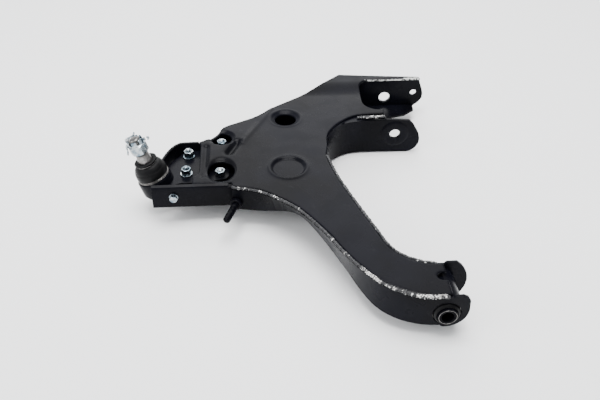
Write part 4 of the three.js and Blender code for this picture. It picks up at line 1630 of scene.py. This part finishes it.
# ------------------------------------------------------------------ ball joint
@dataclass
class BallJoint:
    """Housing, seats, stud, boot, rings, castle nut and cotter pin."""

    datum: Datum
    fitter: Fitter
    ball: float = 13.0
    fold: float = 27.0
    boot_foot: float = 13.5
    boot_head: float = 36.5
    lower_wires: tuple[float, ...] = (13.2, 14.5, 15.8)
    lower_reach: float = 22.9
    lower_wire: float = 0.32
    upper_height: float = 37.0
    upper_reach: float = 15.0
    upper_wire: float = 0.35
    nut_flats: float = 24.0
    nut_base: float = 56.3
    nut_shoulder: float = 71.0
    nut_top: float = 78.0
    crown_radius: float = 11.2
    bore: float = 8.3
    slot_width: float = 4.6
    slot_floor: float = 72.0
    pin_height: float = 74.0
    pin_radius: float = 1.25

    def place(self) -> Placement:
        """Frame at the ball's centre, with Z along the stud."""
        spin = next(joint for joint in frame["joints"] if joint["name"] == "stud_spin")
        return Placement.along(Vector(spin["pos_m"]), Vector(spin["axis"]))

    def stud(self) -> Shape:
        """Ball, neck, taper and threaded end, turned in one piece."""
        arc = [(self.ball * math.sin(math.radians(a)), self.ball * math.cos(math.radians(a)))
               for a in range(146, 36, -6)]
        neck = [(8.0, 12.0), (8.0, 34.0), (10.7, 38.0), (10.7, 40.0), (8.9, 53.0), (7.1, 53.8),
                (7.1, 77.6), (5.6, 79.3), (0.0, 79.5)]
        stud = lathe([(0.0, arc[0][1]), *arc, *fillet(neck, 0.6, closed=False)], closed=False)
        thread = Thread(8.0, 1.5, 54.4, 78.0).shape("stud_end_thread", self.fitter.palette[Slot.STEEL])
        return stud.add(thread)

    def boots(self) -> None:
        """Makes the dust boot as two halves that meet at its fold, bakes their placement and hides the boot's
        node.
        """
        place = self.place()
        rubber = self.fitter.palette[Slot.RUBBER]
        lower = [(20.5, 12.6), (22.7, 12.6), (22.7, 13.4), (22.2, 14.4), (22.7, 16.4), (23.1, 18.2),
                 (23.2, 21.0), (22.7, 24.6), (21.9, self.fold), (18.9, self.fold), (20.1, 22.0),
                 (20.4, 18.0)]
        upper = [(21.9, self.fold), (20.4, 30.8), (18.3, 33.8), (16.0, 35.7), (14.9, 36.5), (14.5, 37.2),
                 (15.6, 37.9), (16.6, 38.6), (16.7, 40.2), (16.1, 41.0), (11.6, 41.0), (11.2, 40.2),
                 (11.2, 36.4), (12.6, 34.0), (15.6, 31.4), (18.9, self.fold)]
        foot = place.matrix @ Vector((0, 0, self.boot_foot))
        fold = place.matrix @ Vector((0, 0, self.fold))
        head = place.matrix @ Vector((0, 0, self.boot_head))
        lower_half = lathe(fillet(lower, 0.5, steps=2)).object("boot_lower_half", place, rubber, 50.0)
        upper_half = lathe(fillet(upper, 0.5, steps=2)).object("boot_upper_half", place, rubber, 50.0)
        self.fitter.bend(lower_half, (Body.ARM, Body.BOOT), foot, fold, Slot.RUBBER, "dust_boot")
        self.fitter.bend(upper_half, (Body.BOOT, Body.COLLAR), fold, head, Slot.RUBBER)

    def rings(self) -> None:
        """Makes the wire rings that hold the boot, and fits them."""
        place = self.place()
        bottom = Shape()
        for height in self.lower_wires:
            bottom.add(wire_ring(self.lower_reach, height, self.lower_wire))
        top = wire_ring(self.upper_reach, self.upper_height, self.upper_wire)
        self.fitter.make(bottom, "boot_bottom_ring", place, Body.ARM, Slot.STEEL, "boot_lower_ring")
        self.fitter.make(top, "boot_top_ring", place, Body.COLLAR, Slot.STEEL, "boot_upper_ring")

    def castle_nut(self) -> bpy.types.Object:
        """Slotted nut with a round crown."""
        zinc = self.fitter.palette[Slot.ZINC]
        local = Placement(Matrix.Identity(4))
        body = hexagon(self.nut_flats, self.nut_base, self.nut_shoulder, self.bore, washer=0.6)
        crown = [(self.bore, 64.0), (self.crown_radius, 64.0), (self.crown_radius, self.nut_top),
                 (self.bore, self.nut_top)]
        piece = body.object("castle_nut_plated", local, zinc)
        ring = lathe(fillet(crown, 1.0), steps=72).object("crown", local, zinc)
        cutters = [(ring, "UNION")]
        for turn in (0, 60, 120):
            cutter = self.slot_cutter(turn).object(f"slot_{turn}", local, zinc)
            cutters.append((cutter, "DIFFERENCE"))
        for number, (other, action) in enumerate(cutters):
            modifier = piece.modifiers.new(f"cut_{number}", "BOOLEAN")
            modifier.object = other
            modifier.operation = action
            modifier.solver = "EXACT"
        baked(piece)
        for other, _ in cutters:
            bpy.data.objects.remove(other)
        piece.data.transform(self.place().matrix)
        return dressed(piece, zinc, 28.0)

    def slot_cutter(self, turn: float) -> Shape:
        """Bar that cuts two opposite slots, with a round floor."""
        w = self.slot_width / 2
        section = [(-w, 90.0), (-w, self.slot_floor + w)]
        section += [(-w * math.cos(math.pi * k / 8), self.slot_floor + w - w * math.sin(math.pi * k / 8))
                    for k in range(1, 8)]
        section += [(w, self.slot_floor + w), (w, 90.0)]
        turned = Matrix.Rotation(math.radians(turn), 3, "Z")
        count = len(section)
        shape = Shape([tuple(turned @ Vector((x, y, z))) for x in (-20.0, 20.0) for y, z in section])
        for k in range(count):
            n = (k + 1) % count
            shape.faces.append((k, n, n + count, k + count))
        shape.faces += [tuple(range(count)), tuple(range(count, 2 * count))]
        return shape

    def cotter_pin(self) -> Shape:
        """Split pin: its eye on one side, one leg bent over the stud and one bent down the nut."""
        z, r = self.pin_height, self.pin_radius
        lift = r * 0.8
        over = [(15.0, 0.0, z + 1.5), (12.0, 0.0, z + lift), (4.0, 0.0, z + lift), (-8.0, 0.0, z + lift),
                (-11.6, 0.3, z + 2.4), (-10.6, 0.4, 81.0), (-4.0, 0.4, 82.4), (2.0, 0.2, 84.4),
                (5.0, 0.0, 88.6)]
        down = [(15.0, 0.0, z - 1.9), (12.0, 0.0, z - lift), (4.0, 0.0, z - lift), (-8.0, 0.0, z - lift),
                (-12.8, -0.2, z - 1.4), (-15.0, -0.4, 69.0), (-16.2, -0.6, 63.0), (-18.6, -1.0, 56.6)]
        eye = [(15.0 + 2.6 * (1 - math.cos(a)), 0.0, z - 0.2 + 1.8 * math.sin(a))
               for a in (math.pi / 2, 2.2, 2.7, math.pi, 3.6, 4.1, 3 * math.pi / 2)]
        shape = rod(smooth_path(over), r)
        return shape.add(rod(smooth_path(down), r)).add(rod(smooth_path(eye), r))

    def build(self) -> None:
        """Makes the ball joint and fits it."""
        place = self.place()
        make, ease = self.fitter.make, self.fitter.ease
        ease("ball_joint_housing", "joint_housing", 1.0, Slot.COAT)
        ease("housing_cap", "joint_cap", 0.5, Slot.COAT)
        for node in ("lower_seat", "upper_seat"):
            ease(node, f"{node}_moulding", 0.3, Slot.POLYMER)
        make(self.stud(), "ball_stud_steel", place, Body.STUD, Slot.STEEL, "ball_stud")
        self.boots()
        self.rings()
        self.fitter.fit(self.castle_nut(), Body.STUD, Slot.ZINC, "castle_nut")
        make(self.cotter_pin(), "split_pin", place, Body.STUD, Slot.ZINC, "cotter_pin", sharp=60.0)


# ------------------------------------------------------------------ studio
@dataclass(frozen=True)
class Lamp:
    """Square soft light: where it hangs, where it points, its side and its power in watts."""

    place: Point3
    target: Point3
    size: float
    power: float


@dataclass
class Studio:
    """Camera, pale floor and soft light."""

    datum: Datum
    lens: float = 45.0
    heading: float = 3.3845
    elevation: float = 38.0
    distance: float = 1.02
    floor_size: float = 8.0
    floor_height: float = -0.0008
    sensor: float = 36.0
    tint: Colour = (0.95, 0.97, 1.0)
    sky: tuple[float, float] = (1.30, 0.60)
    sky_reach: float = 0.7
    lamps: dict[str, Lamp] = field(default_factory=lambda: {
        "overhead": Lamp((0.0, 0.0, 2.4), (0, 0, 0), 1.5, 105.0),
        "back_softbox": Lamp((0.2, 2.5, 2.0), (0, 0, 0), 2.4, 62.0),
        "left_fill": Lamp((-2.0, -0.6, 1.2), (0, 0, 0.05), 1.2, 20.0),
    })

    def camera(self) -> None:
        """Adds the camera."""
        data = bpy.data.cameras.new("camera")
        data.lens = self.lens
        data.sensor_width = self.sensor
        camera = bpy.data.objects.new("camera", data)
        bpy.context.scene.collection.objects.link(camera)
        turn, fall = math.radians(self.heading), math.radians(self.elevation)
        ahead = Vector((math.sin(turn) * math.cos(fall), math.cos(turn) * math.cos(fall), -math.sin(fall)))
        camera.location = self.datum.at(0, 0, 0) - ahead * self.distance
        camera.rotation_euler = (math.pi / 2 - fall, 0.0, -turn)
        bpy.context.scene.camera = camera

    def floor(self) -> None:
        """Adds the floor."""
        half = self.floor_size / 2
        mesh = bpy.data.meshes.new("floor")
        corners = [(-half, -half), (half, -half), (half, half), (-half, half)]
        mesh.from_pydata([(x, y, self.floor_height) for x, y in corners], [], [(0, 1, 2, 3)])
        floor = new_object("floor", mesh)
        mesh.materials.append(FloorFinish().material())

    def light(self, name: str, lamp: Lamp) -> None:
        """Adds a light.

        Args:
            name: Its name.
            lamp: Its place, size and power.
        """
        data = bpy.data.lights.new(name, "AREA")
        data.size = lamp.size
        data.energy = lamp.power
        light = bpy.data.objects.new(name, data)
        bpy.context.scene.collection.objects.link(light)
        light.location = lamp.place
        ahead = Vector(lamp.target) - Vector(lamp.place)
        light.rotation_euler = ahead.to_track_quat("-Z", "Y").to_euler()

    def backdrop(self) -> None:
        """Adds the pale surround, brighter on the left than on the right."""
        world = bpy.data.worlds.new("studio")
        world.use_nodes = True
        nodes, links = world.node_tree.nodes, world.node_tree.links
        background = nodes["Background"]
        background.inputs["Color"].default_value = (*self.tint, 1.0)
        axes = nodes.new("ShaderNodeSeparateXYZ")
        fade = nodes.new("ShaderNodeMapRange")
        fade.inputs["From Min"].default_value = -self.sky_reach
        fade.inputs["From Max"].default_value = self.sky_reach
        fade.inputs["To Min"].default_value, fade.inputs["To Max"].default_value = self.sky
        links.new(nodes.new("ShaderNodeTexCoord").outputs["Generated"], axes.inputs[0])
        links.new(axes.outputs["X"], fade.inputs["Value"])
        links.new(fade.outputs["Result"], background.inputs["Strength"])
        bpy.context.scene.world = world

    def build(self) -> None:
        """Sets up the camera, the floor, the surround and the lights."""
        self.camera()
        self.floor()
        self.backdrop()
        for name, lamp in self.lamps.items():
            self.light(name, lamp)


def main() -> None:
    """Builds the studio and every sub-assembly in order."""
    logging.basicConfig(level=logging.INFO, format="%(name)s %(message)s")
    datum = Datum.from_bush()
    Studio(datum).build()
    fitter = Fitter(Palette())
    for assembly in (UpperPressing, BoxSection, WeldBeads, PivotBush, LinkStud, Fasteners, BallJoint):
        log.info("building %s", assembly.__name__)
        assembly(datum, fitter).build()
    log.info("%d pieces fitted", fitter.count)


if __name__ == "__main__":
    main()
